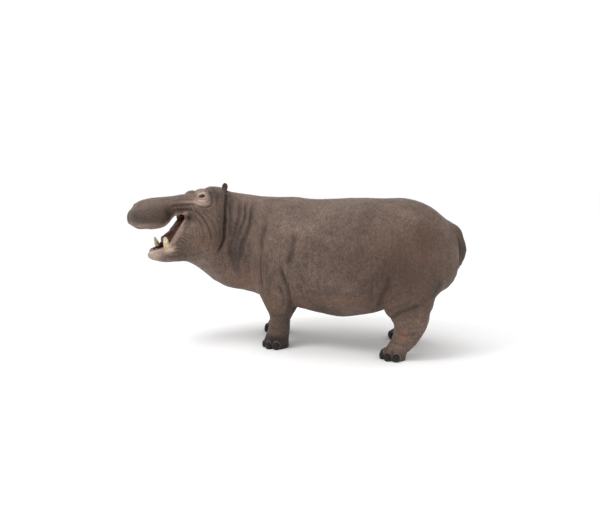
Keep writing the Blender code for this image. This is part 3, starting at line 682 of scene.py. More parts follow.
# %% The edges of the lips
LOWER_LIP = (  # out, back, up, radius, from the corner of the mouth to the chin
    (0.140, 0.533, 1.232, 0.007), (0.160, 0.505, 1.195, 0.011), (0.172, 0.465, 1.135, 0.014),
    (0.180, 0.425, 1.078, 0.016), (0.187, 0.375, 1.018, 0.020), (0.183, 0.325, 0.970, 0.024),
    (0.155, 0.272, 0.936, 0.028), (0.105, 0.243, 0.922, 0.028), (0.050, 0.232, 0.916, 0.026),
    (0.000, 0.230, 0.915, 0.025))
UPPER_LIP = (
    (0.140, 0.533, 1.232, 0.009), (0.135, 0.505, 1.262, 0.010), (0.128, 0.450, 1.270, 0.011),
    (0.138, 0.400, 1.240, 0.012), (0.160, 0.350, 1.190, 0.014), (0.175, 0.290, 1.160, 0.015),
    (0.180, 0.210, 1.152, 0.016), (0.160, 0.130, 1.158, 0.015), (0.100, 0.085, 1.172, 0.014),
    (0.000, 0.070, 1.178, 0.014))
LIP_SUNK = 0.30                             # of its radius
LIP_BY_TUSK_HIGH = {1: 0.948, -1: 0.936}    # the swelling that wraps the root of each tusk
LIP_BY_TUSK_RADII, LIP_CORNER_RADII = (0.030, 0.076, 0.030), (0.026, 0.030, 0.015)


def round_the_mouth(stations, steps=6):
    """The whole path of a lip and its radii, from the left corner round to the right one."""
    rows = between([(x, NOSE_Y + back, z, radius) for x, back, z, radius in stations], steps)
    mirrored = rows[:-1][::-1] * (-1, 1, 1, 1)
    rows = np.vstack([rows, mirrored])
    return rows[:, :3], rows[:, 3]


def drawn_to_rim(path, radii):
    """The path moved onto the sharp rim of the mouth, and how far off it was at most."""
    rim = kdtree.KDTree(len(MOUTH_RIM))
    for i, (point, _) in enumerate(MOUTH_RIM):
        rim.insert(point, i)
    rim.balance()
    moved, off = [], []
    for point, radius in zip(path, radii):
        nearest, i, far = rim.find(point)
        off.append(far)
        aim = np.array(nearest - MOUTH_RIM[i][1] * LIP_SUNK * radius)
        moved.append(point + (aim - point) * min(1, 0.035 / max(far, 1e-6)))
    moved = np.array(moved)
    for _ in range(6):
        moved[1:-1] = (moved[:-2] + 2 * moved[1:-1] + moved[2:]) / 4
    return moved, max(off)


lips, LIP_PATHS = [], []
for name, stations in (("lower_lip", LOWER_LIP), ("upper_lip", UPPER_LIP)):
    path, radii = round_the_mouth(stations)
    path, off = drawn_to_rim(path, radii)
    print(name, "was at most", round(1000 * off), "mm from the rim")
    lips.append(cord(name, path, radii))
    LIP_PATHS.append(path)
for side, high in LIP_BY_TUSK_HIGH.items():
    lips += [mass("lip_by_tusk", Matrix.Translation(place(0.172, 0.354, high, side)), LIP_BY_TUSK_RADII),
             mass("lip_corner", Matrix.Translation(place(0.113, 0.480, 1.284, side)), LIP_CORNER_RADII)]

# %% [markdown]
# ## One skin, finer where the eye looks
# A voxel remesh has the same grain all over. To give the head and feet more faces, the body is swollen there
# first, run together, and shrunk back. `swell` does it in two steps: round spots at the eyes, ears, nostrils
# and feet, and then the whole head, which grows lengthwise and across by the same factor.

# %% Swelling and shrinking
HEAD_ZOOM, ZOOM_HEIGHT = 1.9, 1.10
ZOOM_FROM_Y, ZOOM_TO_Y = -0.85, -0.35
REACH = np.linspace(-2.5, 2.5, 5001)
ZOOM_SHARE = np.clip((ZOOM_TO_Y - REACH) / (ZOOM_TO_Y - ZOOM_FROM_Y), 0, 1)
ZOOM = 1 + (HEAD_ZOOM - 1) * ZOOM_SHARE**2 * (3 - 2 * ZOOM_SHARE)
ZOOMED_Y = np.concatenate([[0], np.cumsum((ZOOM[1:] + ZOOM[:-1]) / 2)]) * (REACH[1] - REACH[0])
SPOTS = []
for side in (1, -1):
    SPOTS += [(place(*EYE, side), 0.055, 1.2), (place(*EAR, side), 0.050, 1.2),
              (place(*NOSTRIL, side), 0.045, 0.8)]
FEET = [foot_middle(*row[1:5]) for row in LEGS]
for middle in unbend(np.array([[*foot.xy, 0.04] for foot in FEET])):
    SPOTS.append((middle, 0.150, 1.1))
print(len(SPOTS), "spots and the head are swollen")


def swell(points):
    """Points with the spots and then the head grown."""
    for middle, reach, strength in SPOTS:
        off = points - middle
        far = np.linalg.norm(off, axis=1)[:, None]
        points = middle + off * (1 + strength * np.exp(-(far / reach)**2))
    zoom = np.interp(points[:, 1], REACH, ZOOM)
    return np.column_stack([points[:, 0] * zoom, np.interp(points[:, 1], REACH, ZOOMED_Y),
                            ZOOM_HEIGHT + (points[:, 2] - ZOOM_HEIGHT) * zoom])


def shrink(points):
    """Undoes `swell`, in the opposite order."""
    y = np.interp(points[:, 1], ZOOMED_Y, REACH)
    zoom = np.interp(y, REACH, ZOOM)
    points = np.column_stack([points[:, 0] / zoom, y, ZOOM_HEIGHT + (points[:, 2] - ZOOM_HEIGHT) / zoom])
    for middle, reach, strength in SPOTS[::-1]:
        off = points - middle
        far = np.linalg.norm(off, axis=1)[:, None]
        table = np.linspace(0, 5, 50001)
        near = np.interp(far, table * (1 + strength * np.exp(-(table / reach)**2)), table)
        points = middle + off * near / np.maximum(far, 1e-9)
    return points


# %% [markdown]
# Flesh, tail, lids, ears and lips become one skin here. A remesh leaves a crease round the root of the tail and
# one where the lip closes round each tusk. The hide of the animal flows over both, so those two places are
# filled and evened more than the rest.

# %% The fine skin
SKIN_GRAIN = 0.013
TAIL_ROOT, TAIL_ROOT_RADII = (0, 1.355, 1.168), (0.110, 0.095, 0.062)


def nearness(points, middle, radii):
    """1 in the middle of a soft ellipsoid, fading to 0 outside it."""
    return np.exp(-(((points - middle) / radii)**2).sum(axis=1))


tail_form = tail("tail_form")
put_points(tail_form, unbend(points_of(tail_form)))
tail_root = mass("tail_root", Matrix.Translation(TAIL_ROOT), TAIL_ROOT_RADII)
skin = joined("skin", [skin, tail_form, tail_root, *eyelids, *ears, *lips])
put_points(skin, swell(points_of(skin)))
run_together(skin, SKIN_GRAIN)
put_points(skin, shrink(points_of(skin)))
soften(skin, 5)
tail_share = nearness(points_of(skin), (0, 1.41, 1.19), (0.16, 0.12, 0.12))
fill_creases(skin, 140, tail_share)
soften(skin, 30, tail_share[:, None])
lip_share = np.maximum(*[nearness(points_of(skin), place(0.190, 0.315, high + 0.003, side), (0.045, 0.110, 0.045))
                         for side, high in LIP_BY_TUSK_HIGH.items()])
fill_creases(skin, 60, lip_share)
soften(skin, 24, lip_share[:, None])
print("skin", len(skin.data.vertices), "points,", len(skin.data.polygons), "faces")

# %% [markdown]
# ## Folds and creases
# The hide of a hippopotamus is thick, and it hangs in folds wherever the body bends: behind the jowl, round
# the neck, at the armpit and above the thigh. A sculptor would press them in with a tool. Here each fold is a
# line drawn on the side of the body, and the skin's points near it move along their normals: in at the line,
# and out on both sides of it, where the hide is pushed up. The same lines give a mask, with which painted shade
# darkens the bottom of each fold later.

# %% Tools for folds
def waviness(points, size, seed):
    """A smooth random value at each point, about 1 strong, with waves of about this size."""
    draw = np.random.default_rng(seed)
    total = np.zeros(len(points))
    for _ in range(10):
        way = draw.normal(size=3)
        way *= math.tau / (size * np.linalg.norm(way)) * draw.uniform(0.6, 1.5)
        total += np.sin(points @ way + draw.uniform(0, math.tau))
    return total / math.sqrt(5)


def off_line(points, line, reach):
    """The points near a line: which they are, how far off (below 0 on its right) and how far along it (0 to 1)."""
    low, high = line.min(axis=0) - reach, line.max(axis=0) + reach
    near = np.where(((points > low) & (points < high)).all(axis=1))[0]
    run = np.concatenate([[0], np.cumsum(np.linalg.norm(line[1:] - line[:-1], axis=1))])
    off, along = np.full(len(near), np.inf), np.zeros(len(near))
    for start, end, ran in zip(line, line[1:], run):
        way = end - start
        long = np.linalg.norm(way)
        rel = points[near] - start
        share = np.clip(rel @ way / long**2, 0, 1)
        gap = rel - share[:, None] * way
        far = np.linalg.norm(gap, axis=1)
        closer = far < abs(off)
        hand = np.sign(way[0] * rel[:, 1] - way[1] * rel[:, 0]) if len(way) == 2 else 1.0
        off = np.where(closer, far * hand, off)
        along = np.where(closer, (ran + share * long) / run[-1], along)
    return near, off, along


class Carving:
    """The skin while it is carved: its points, its normals, the depth of the folds at each point, and a mask for the
    painted shade at their bottoms.
    """

    def __init__(self, obj):
        self.obj, self.points, self.normals = obj, points_of(obj), normals_of(obj)
        self.hollow, self.moved = np.zeros(len(self.points)), np.zeros(len(self.points))

    def fold(self, stations, depth, width, ahead=0.4, behind=0.4, side=0, ends=0.18, start=0.0):
        """A fold along stations of Y and Z. Its left and right banks rise by a share of its depth."""
        line = between(stations, 6) + (start, 0)
        near, off, along = off_line(self.points[:, 1:], line, 5 * width)
        if side:
            beside = self.points[near, 0] * side > 0
            near, off, along = near[beside], off[beside], along[beside]
        off = off + 0.25 * width * waviness(self.points[near], 0.20, 7)
        fade = np.clip(along / ends, 0, 1) * np.clip((1 - along) / ends, 0, 1) if ends else 1.0
        fade = fade * np.clip((abs(self.normals[near, 0]) + 0.5 * abs(self.normals[near, 2])) / 0.45, 0, 1)
        groove = np.exp(-(off / width)**2)
        banks = np.where(off > 0, ahead, behind) * np.exp(-((abs(off) - 1.9 * width) / (1.1 * width))**2)
        self.moved[near] += depth * fade * (banks - groove)
        # painted shade: the bottom of each groove is marked, to be darkened in the hide's colour
        self.hollow[near] = np.maximum(self.hollow[near], fade * groove * min(1, depth / 0.007))

    def press(self, middle, radii, depth):
        """A broad hollow, or with a depth below 0 a swelling, about a place."""
        off = np.linalg.norm((self.points - middle) / radii, axis=1)
        self.moved -= depth * np.exp(-off**2)

    def settle(self):
        """Moves the points as far as all the folds so far say, and starts afresh."""
        put_points(self.obj, self.points + self.normals * self.moved[:, None])
        self.points, self.normals = points_of(self.obj), normals_of(self.obj)
        self.moved[:] = 0


# %% [markdown]
# The folds are listed as a maker would mark them on the model: how deep, how wide, and the places that the line
# passes, as distance along the body and height. Those of the head are measured back from the muzzle.

# %% Folds of the head
HEAD_FOLDS = (  # depth, width, rise ahead, rise behind, then the places: back and up
    (0.028, 0.0125, 0.10, 0.20, (0.912, 1.500), (0.889, 1.338), (0.852, 1.180), (0.832, 1.030),
     (0.812, 0.970), (0.775, 0.915), (0.740, 0.870)),                                     # behind the jowl
    (0.006, 0.010, 0.4, 0.4, (0.375, 1.325), (0.430, 1.338), (0.485, 1.336), (0.557, 1.345),
     (0.625, 1.345)),                                                                     # over the lip, high
    (0.005, 0.009, 0.4, 0.4, (0.430, 1.300), (0.483, 1.302), (0.542, 1.298), (0.600, 1.278)),
    (0.004, 0.009, 0.4, 0.4, (0.400, 1.385), (0.480, 1.388), (0.560, 1.392), (0.620, 1.392)),
    (0.007, 0.008, 0.4, 0.4, (0.585, 1.300), (0.622, 1.262), (0.660, 1.180), (0.692, 1.081),
     (0.708, 1.000)),                                                                     # down the cheek
    (0.005, 0.008, 0.4, 0.4, (0.590, 1.235), (0.618, 1.185), (0.637, 1.093), (0.645, 1.002)),
    (0.004, 0.009, 0.4, 0.4, (0.640, 1.285), (0.700, 1.215), (0.742, 1.120), (0.760, 1.030)),
    (0.004, 0.010, 0.4, 0.4, (0.660, 1.300), (0.745, 1.250), (0.795, 1.170)),
    (0.006, 0.007, 0.6, 0.5, (0.606, 1.395), (0.628, 1.370), (0.668, 1.358), (0.708, 1.368),
     (0.735, 1.400)),                                                                     # under the eye
    (0.006, 0.009, 0.5, 0.5, (0.590, 1.352), (0.642, 1.318), (0.700, 1.318), (0.755, 1.352),
     (0.775, 1.392)),
    (0.007, 0.009, 0.5, 0.4, (0.738, 1.470), (0.762, 1.425), (0.752, 1.375), (0.735, 1.335)),
    (0.004, 0.010, 0.4, 0.4, (0.790, 1.470), (0.808, 1.400), (0.790, 1.320)),
    (0.004, 0.007, 0.4, 0.4, (0.640, 1.452), (0.672, 1.468), (0.712, 1.458)),             # over the eye
    (0.003, 0.014, 0.3, 0.3, (0.470, 0.900), (0.540, 0.890), (0.620, 0.905), (0.690, 0.945)),
    (0.002, 0.014, 0.3, 0.3, (0.430, 0.860), (0.520, 0.850), (0.610, 0.850)))             # under the jaw
print(len(HEAD_FOLDS), "folds on the head")

# %% [markdown]
# The neck is bent to the left, so its folds are deep on that side and drawn out on the right: each side has a
# list of its own. The other folds are on both sides, at the armpit, shoulder, flank, thigh, buttock, wrist and
# ankle.

# %% Folds of the neck, trunk and legs
LEFT_FOLDS = (  # the neck bends to this side, and its folds are deep; depth, width, rises, then Y and Z
    (0.007, 0.021, 0.4, 0.5, (-0.755, 1.400), (-0.770, 1.290), (-0.800, 1.130), (-0.815, 1.000)),
    (0.011, 0.023, 0.4, 0.5, (-0.640, 1.420), (-0.665, 1.330), (-0.722, 1.180), (-0.787, 1.007),
     (-0.800, 0.880), (-0.780, 0.740)),
    (0.010, 0.024, 0.4, 0.5, (-0.555, 1.410), (-0.583, 1.332), (-0.650, 1.200), (-0.713, 1.079),
     (-0.765, 0.960), (-0.770, 0.800), (-0.740, 0.660)),
    (0.010, 0.028, 0.4, 0.5, (-0.430, 1.400), (-0.473, 1.335), (-0.528, 1.240), (-0.590, 1.125),
     (-0.680, 0.990), (-0.725, 0.880), (-0.730, 0.720), (-0.690, 0.600)))
RIGHT_FOLDS = (  # the same folds, drawn out
    (0.005, 0.018, 0.4, 0.4, (-0.760, 1.380), (-0.780, 1.220), (-0.800, 1.050)),
    (0.006, 0.020, 0.4, 0.4, (-0.620, 1.380), (-0.680, 1.200), (-0.740, 1.000), (-0.750, 0.820)),
    (0.006, 0.022, 0.4, 0.4, (-0.470, 1.360), (-0.540, 1.180), (-0.640, 0.980), (-0.690, 0.780)))
BODY_FOLDS = (
    (0.014, 0.020, 0.3, 0.6, (-0.055, 0.850), (-0.036, 0.740), (-0.010, 0.620), (0.006, 0.520),
     (0.016, 0.430), (0.000, 0.350)),                                                     # armpit
    (0.006, 0.016, 0.4, 0.4, (-0.100, 0.640), (-0.062, 0.560), (-0.045, 0.480), (-0.040, 0.410)),
    (0.007, 0.022, 0.5, 0.4, (-0.395, 0.900), (-0.410, 0.780), (-0.385, 0.660), (-0.345, 0.560)),
    (0.006, 0.026, 0.4, 0.4, (-0.260, 1.200), (-0.330, 1.060), (-0.385, 0.900)),          # shoulder
    (0.007, 0.026, 0.4, 0.4, (0.080, 1.120), (0.050, 0.960), (0.020, 0.800)),
    (0.013, 0.017, 0.4, 0.3, (0.925, 0.368), (0.970, 0.390), (1.020, 0.425), (1.085, 0.468),
     (1.150, 0.500), (1.230, 0.525)),                                                     # thigh
    (0.004, 0.014, 0.5, 0.4, (0.900, 0.433), (0.940, 0.445), (1.010, 0.480), (1.085, 0.530), (1.150, 0.565)),
    (0.003, 0.014, 0.5, 0.4, (0.880, 0.503), (0.925, 0.530), (0.985, 0.580), (1.045, 0.640)),
    (0.006, 0.020, 0.4, 0.5, (0.830, 0.420), (0.860, 0.520), (0.905, 0.640), (0.950, 0.780)),  # flank
    (0.004, 0.014, 0.4, 0.4, (0.775, 0.560), (0.792, 0.683), (0.815, 0.800)),
    (0.004, 0.014, 0.4, 0.4, (0.825, 0.640), (0.842, 0.740), (0.865, 0.860)),
    (0.0035, 0.014, 0.4, 0.4, (0.870, 0.700), (0.890, 0.800), (0.915, 0.920)),
    (0.006, 0.020, 0.4, 0.4, (1.300, 0.560), (1.330, 0.640), (1.375, 0.730)),             # buttock
    (0.005, 0.014, 0.4, 0.4, (-0.215, 0.335), (-0.130, 0.322), (-0.030, 0.340)),          # wrist
    (0.004, 0.012, 0.4, 0.4, (-0.215, 0.205), (-0.130, 0.190), (-0.040, 0.205)),
    (0.005, 0.013, 0.4, 0.4, (1.000, 0.255), (1.080, 0.238), (1.180, 0.262)),             # ankle
    (0.004, 0.012, 0.4, 0.4, (0.960, 0.165), (1.040, 0.150), (1.130, 0.172)))
carving = Carving(skin)
for depth, width, ahead, behind, *stations in HEAD_FOLDS:
    carving.fold(stations, depth, width, behind, ahead, 0, 0.12, NOSE_Y)
for table, side in ((LEFT_FOLDS, 1), (RIGHT_FOLDS, -1), (BODY_FOLDS, 0)):
    for depth, width, ahead, behind, *stations in table:
        carving.fold(stations, depth, width, behind, ahead, side)
print(len(HEAD_FOLDS) + len(LEFT_FOLDS) + len(RIGHT_FOLDS) + len(BODY_FOLDS), "folds, up to",
      round(1000 * -carving.moved.min()), "mm deep")
carving.settle()

# %% [markdown]
# ## Wrinkles round the mouth
# Where the lower lip is stretched by the open mouth, short wrinkles run off it like the folds of a curtain.
# They are worked out from the lip's own path: a wave along it, which fades with the distance from the lip.

# %% Wrinkles
LIP_WRINKLE, LIP_WRINKLE_DEPTH, LIP_WRINKLE_REACH = 0.029, 0.0056, 0.066
LIP_WRINKLE_LEAN = 22                       # waves to a metre away from the lip, so that they run slanting
WRINKLES_START, WRINKLES_MIDDLE = 0.024, 0.060          # how far off the lip they start and are deepest
LIP_ROLL, LIP_ROLL_OFF, LIP_ROLL_WIDTH = 0.0055, 0.014, 0.013
LIP_GROOVE, LIP_GROOVE_OFF, LIP_GROOVE_WIDTH = 0.0050, 0.042, 0.011


def mouth_depth(points):
    """Below 1 inside the mouth's hollow, 1 on its wall, above 1 in the flesh round it."""
    rows, back = between(MOUTH_CAVITY, 7), points[:, 1] - NOSE_Y
    low, high, half_width = (np.interp(back, rows[:, 0], rows[:, i]) for i in (1, 2, 3))
    upward = abs(points[:, 2] - (low + high) / 2) / ((high - low) / 2)
    depth = ((abs(points[:, 0]) / half_width)**2.6 + upward**2.6)**(1 / 2.6)
    return depth + np.maximum(rows[0, 0] - 0.02 - back, 0) / 0.03 + np.maximum(back - rows[-1, 0] - 0.05, 0) / 0.05


for path, strength in zip(LIP_PATHS, (1.0, 0.4)):
    near, off, along = off_line(carving.points, path, 3 * LIP_WRINKLE_REACH)
    outside = np.clip((mouth_depth(carving.points[near]) - 1.06) / 0.12, 0, 1)
    carving.moved[near] += strength * LIP_ROLL * outside * np.exp(-((off - LIP_ROLL_OFF) / LIP_ROLL_WIDTH)**2)
    groove = outside * np.exp(-((off - LIP_GROOVE_OFF) / LIP_GROOVE_WIDTH)**2)
    carving.moved[near] -= strength * LIP_GROOVE * groove
    long = np.linalg.norm(path[1:] - path[:-1], axis=1).sum()
    wave = along * long / LIP_WRINKLE + LIP_WRINKLE_LEAN * off + 0.60 * waviness(carving.points[near], 0.15, 3)
    band = np.exp(-((off - WRINKLES_MIDDLE) / LIP_WRINKLE_REACH)**2) * np.clip((off - WRINKLES_START) / 0.020, 0, 1)
    band = band * np.clip(0.7 + 0.5 * waviness(carving.points[near], 0.09, 4), 0, 1.3) * outside
    band = band * np.clip((carving.points[near, 1] - NOSE_Y - 0.30) / 0.14, 0.15, 1)
    band = band * np.clip((abs(carving.points[near, 0]) - 0.120) / 0.03, 0, 1)
    valley = np.maximum(np.cos(math.tau * wave), 0)**2
    carving.moved[near] += strength * LIP_WRINKLE_DEPTH * band * (0.35 - valley)
    # painted shade: the valleys of the wrinkles and the groove below the lip are marked to be darkened
    shade = np.maximum(1.5 * strength * band * valley, 0.5 * strength * groove)
    carving.hollow[near] = np.maximum(carving.hollow[near], np.clip(shade, 0, 1))

print("wrinkles", round(1000 * LIP_WRINKLE), "mm apart")

# %% [markdown]
# ## Broad hollows and swellings
# Under the hide lie bones and pads. The shoulder blade and the hip push it out, and it sinks ahead of them,
# ahead of the eyes and behind the bulb of the muzzle. Each is one soft press of the whole neighbourhood.

# %% Hollows and swellings
HEAD_PRESSES = (  # out, back and up, then three radii, then how deep, or below 0 how high
    ((0.190, 0.372, 1.290), (0.06, 0.055, 0.090), 0.015),      # behind the muzzle's bulb
    ((0.155, 0.562, 1.222), (0.05, 0.022, 0.034), 0.020),      # behind the mouth's corner
    ((0.100, 0.030, 1.280), (0.06, 0.05, 0.08), -0.004),       # whisker pads
    ((0.000, 0.030, 1.230), (0.016, 0.08, 0.07), 0.004),       # the groove between them
    ((0.130, 0.560, 1.430), (0.04, 0.06, 0.03), 0.004))        # ahead of the eye
BODY_PRESSES = (
    ((0.43, -0.30, 1.02), (0.2, 0.10, 0.16), 0.008),           # ahead of the shoulder blade
    ((0.46, -0.10, 1.10), (0.2, 0.09, 0.15), -0.010),          # shoulder blade
    ((0.50, 0.95, 1.10), (0.2, 0.13, 0.16), 0.012),            # ahead of the hip
    ((0.44, 1.12, 1.18), (0.2, 0.10, 0.09), -0.010),           # hip
    ((0.080, 1.500, 0.980), (0.030, 0.12, 0.20), 0.016))       # beside the tail
for side in (1, -1):
    for middle, radii, depth in HEAD_PRESSES:
        carving.press(place(*middle, side), radii, depth)
    for (x, y, z), radii, depth in BODY_PRESSES:
        carving.press((side * x, y, z), radii, depth)
print(len(HEAD_PRESSES) + len(BODY_PRESSES), "hollows and swellings on each side")

# %% [markdown]
# ## Toes, gums and palate
# The hide swells in a ring round each toenail and sinks between the toes. Inside the mouth it swells round the
# root of each tooth, and the palate has ridges across it.

# %% Small forms of the feet and the mouth
NAIL_RADII, NAIL_AHEAD = (0.034, 0.030, 0.043), 0.022
CUTICLE_RISE, TOE_GROOVE = 0.0040, 0.014
TOOTH_ROOTS = ((0.143, 0.343, 0.912, 0.032), (0.035, 0.325, 0.905, 0.014), (0.090, 0.330, 0.908, 0.012),
               (0.118, 0.262, 1.225, 0.018), (0.032, 0.176, 1.215, 0.013), (0.085, 0.186, 1.215, 0.013))
GUM_RISE, PALATE_RIDGE, PALATE_WAVE = 0.007, 0.0022, 0.026


def seen_from(placed, points):
    """Points of the body, in a frame's own coordinates."""
    turned = np.array(placed.to_3x3())
    return (points - np.array(placed.translation)) @ turned


CUTICLE = np.zeros(len(carving.points))
standing = carving.points[:, 2] < 0.16
near_feet = bend(carving.points[standing])
toe_frames = toe_places()
for _, _, placed in toe_frames:
    rel = seen_from(placed @ Matrix.Translation((0, -NAIL_AHEAD, 0)), near_feet) / NAIL_RADII
    ring = np.exp(-((np.linalg.norm(rel, axis=1) - 1.13) / 0.085)**2)
    ring = ring * np.clip((near_feet[:, 2] - 0.008) / 0.02, 0, 1)
    carving.moved[standing] += CUTICLE_RISE * ring
    CUTICLE[standing] = np.maximum(CUTICLE[standing], 0.60 * ring)
for (foot, _, one), (next_foot, _, other) in zip(toe_frames, toe_frames[1:]):
    if foot == next_foot:
        middle = (np.array(one.translation) + np.array(other.translation)) / 2
        way = np.array(other.translation - one.translation)[:2]
        off = near_feet - middle
        across = off[:, :2] @ way / np.linalg.norm(way)
        far = np.hypot(off[:, 0], off[:, 1])
        groove = (np.exp(-(across / 0.011)**2) * np.clip((0.095 - far) / 0.04, 0, 1)
                  * np.clip((0.150 - near_feet[:, 2]) / 0.08, 0, 1))
        carving.moved[standing] -= TOE_GROOVE * groove
        # painted shade in the groove between two toes
        carving.hollow[standing] = np.maximum(carving.hollow[standing], 0.7 * groove)

deep = mouth_depth(carving.points)
for x, back, z, radius in TOOTH_ROOTS:
    for side in (1, -1):
        off = np.linalg.norm((carving.points - place(x, back, z, side)) / (1, 1, 1.3), axis=1)
        carving.moved += GUM_RISE * np.exp(-((off - radius - 0.008) / 0.010)**2) * (deep < 1.25)
palate = (np.clip(-carving.normals[:, 2], 0, 1) * np.clip((1.06 - deep) / 0.05, 0, 1)
          * np.clip((0.125 - abs(carving.points[:, 0])) / 0.03, 0, 1))
bowed = carving.points[:, 1] + 0.25 * carving.points[:, 0]**2
carving.moved += PALATE_RIDGE * palate * np.sin(math.tau * bowed / PALATE_WAVE)
print("toes, gums and palate move the skin by up to", round(1000 * abs(carving.moved).max(), 1), "mm")

# %% [markdown]
# ## Unevenness
# No hide is as even as a remesh leaves it. Three sizes of gentle waves go over all of it, weaker on the head.
# Where the tail lies against the rump, a dark line is kept for the shadow between them.

# %% The carved skin
unevenness = (0.0035 * waviness(carving.points, 0.42, 11) + 0.0011 * waviness(carving.points, 0.16, 12)
              + 0.0006 * waviness(carving.points, 0.06, 13))
calm = 0.35 + 0.65 * np.clip((carving.points[:, 1] + 1.0) / 0.4, 0, 1)
carving.moved += unevenness * calm
carving.settle()
soften(skin, 1)
STRAIGHT, WAYS = points_of(skin), normals_of(skin)
tail_edge = np.exp(-((abs(STRAIGHT[:, 0]) - 0.064) / 0.016)**2) * np.clip((STRAIGHT[:, 1] - 1.38) / 0.05, 0, 1)
tail_edge *= np.clip((1.10 - STRAIGHT[:, 2]) / 0.08, 0, 1) * np.clip((STRAIGHT[:, 2] - 0.72) / 0.06, 0, 1)
# painted shade: the bottoms of the folds, wrinkles and toe grooves, and the shadow line beside the tail
PAINTED_CREASE_SHADE = np.maximum(carving.hollow, tail_edge)
print("carved", len(STRAIGHT), "points")

# %% [markdown]
# ## Where the hide changes colour, and where shade is painted on it
# The hide isn't one colour. The lips and the rings round the eyes are pink, where the pigment is thin; the
# inside of the mouth is red; the muzzle is dark and the feet darker towards the floor. Shade is painted in too:
# behind the muzzle's bulb, in the corners of the mouth, behind the jowl, on the rump and round the tail, with
# warm light bounced into some shaded places. Each of these is a mask from 0 to 1, worked out from the distance
# to a place or a path and kept in the mesh as an attribute, so that a material can read it. The straight body's
# coordinates are kept too, and patterns drawn in them follow the bent neck.

# %% Tools for masks
OUT, BACK, HEIGHT = abs(STRAIGHT[:, 0]), STRAIGHT[:, 1] - NOSE_Y, STRAIGHT[:, 2]


def patch(x, y, z, across, along, tall, side=0):
    """A soft round mask about a place, on one side of the straight body or, with side 0, on both."""
    sideways = side * STRAIGHT[:, 0] if side else OUT
    return nearness(np.column_stack([sideways, STRAIGHT[:, 1:]]), (x, y, z), (across, along, tall))


def strongest(places, start=0.0):
    """The strongest of some patches: how strong, the place, the three radii, and the side if it has one."""
    return np.maximum.reduce([strong * patch(x, start + y, z, *rest) for strong, x, y, z, *rest in places])


def near_path(path, reach):
    """A soft mask along a path."""
    near, off, _ = off_line(STRAIGHT, path, 3 * reach)
    mask = np.zeros(len(STRAIGHT))
    mask[near] = np.exp(-(off / reach)**2)
    return mask


def step(value, start, end):
    """0 up to the start, 1 from the end on, and a soft slope between them."""
    share = np.clip((value - start) / (end - start), 0, 1)
    return share**2 * (3 - 2 * share)


# %% [markdown]
# The patches are listed as a painter would note them: how strong, where, and how far they reach each way. On
# the head they are measured out, back from the muzzle and up, and on the body they have X, Y and Z.

# %% Where it is pink, flushed and painted with warm shade
PINK_ON_HEAD = (
    (0.88, EYE[0] + 0.02, EYE[1], EYE[2] + 0.008, 0.06, 0.050, 0.048),                           # lids
    (0.72, 0.20, 0.650, 1.372, 0.09, 0.060, 0.034), (0.40, 0.20, 0.560, 1.375, 0.09, 0.080, 0.018),
    (0.40, 0.16, 0.16, 1.172, 0.10, 0.16, 0.018), (0.30, 0.0, 0.03, 1.19, 0.16, 0.06, 0.020),    # muzzle's edge
    (0.85, 0.195, 0.330, 0.955, 0.05, 0.060, 0.036), (0.90, 0.0, 0.235, 0.915, 0.20, 0.05, 0.050))
# flushed pigment on the jaw, by the nostril and under the eye; on the lower cheek painted warm shade, light bounced
# into shade
FLUSH_AND_WARM_SHADE_ON_HEAD = (
    (0.45, 0.30, 0.69, 1.018, 0.1, 0.045, 0.030), (0.45, 0.163, 0.122, 1.338, 0.05, 0.014, 0.026),
    (0.35, 0.20, 0.690, 1.345, 0.09, 0.06, 0.020), (0.25, 0.22, 0.70, 1.08, 0.2, 0.16, 0.16))
# flushed pigment on the flank, belly, chest and legs; on the rump and the forelegs also painted warm shade, light
# bounced into shade
FLUSH_AND_WARM_SHADE_ON_BODY = (  # the last 1 is for the left side alone
    (0.85, 0.49, 1.074, 0.235, 0.12, 0.040, 0.050, 1), (0.60, 0.37, 0.127, 0.433, 0.2, 0.10, 0.045, 1),
    (0.45, 0.51, 0.551, 0.520, 0.2, 0.22, 0.045, 1), (0.40, 0.30, -0.55, 0.62, 0.25, 0.22, 0.10),
    (0.35, 0.0, 1.30, 0.62, 0.25, 0.16, 0.16), (0.34, 0.45, 1.05, 0.82, 0.4, 0.35, 0.38),
    (0.45, 0.40, 1.20, 1.02, 0.3, 0.17, 0.19), (0.22, 0.32, -0.15, 0.45, 0.2, 0.2, 0.2),
    (0.35, 0.33, 1.02, 0.36, 0.12, 0.08, 0.08), (0.30, 0.32, -0.15, 0.30, 0.2, 0.1, 0.2))

speckle = waviness(STRAIGHT, 0.05, 21)
thin_lip = near_path(LIP_PATHS[0], 0.023) * (1 - 0.35 * step(BACK, 0.34, 0.42))
full_lip = near_path(LIP_PATHS[0], 0.048) * step(BACK, 0.40, 0.33)
lower_lip = np.maximum(thin_lip, full_lip) * step(BACK, 0.53, 0.47)
pink = np.maximum.reduce([lower_lip * (0.95 + 0.10 * speckle), near_path(LIP_PATHS[1], 0.020) * 0.55,
                          strongest(PINK_ON_HEAD, NOSE_Y)])
flush = np.maximum(strongest(FLUSH_AND_WARM_SHADE_ON_HEAD, NOSE_Y), strongest(FLUSH_AND_WARM_SHADE_ON_BODY))
print("pink on", round(100 * float((pink > 0.3).mean()), 1), "% of the points")

# %% [markdown]
# The hide is dark on the muzzle, behind the eyes, by the ears, and towards the floor on the lower legs and feet.
# The rest of this mask is painted shade: behind the muzzle's bulb, in the corners of the mouth, on the lower
# jowl and in the deep fold behind it, on the rump and buttock and round the tail; on the muzzle it is partly
# painted shade as well. One list of patches, one path and three slopes down the legs are laid over one another,
# and the darkest wins, so that no place gets darker because two of them meet there.

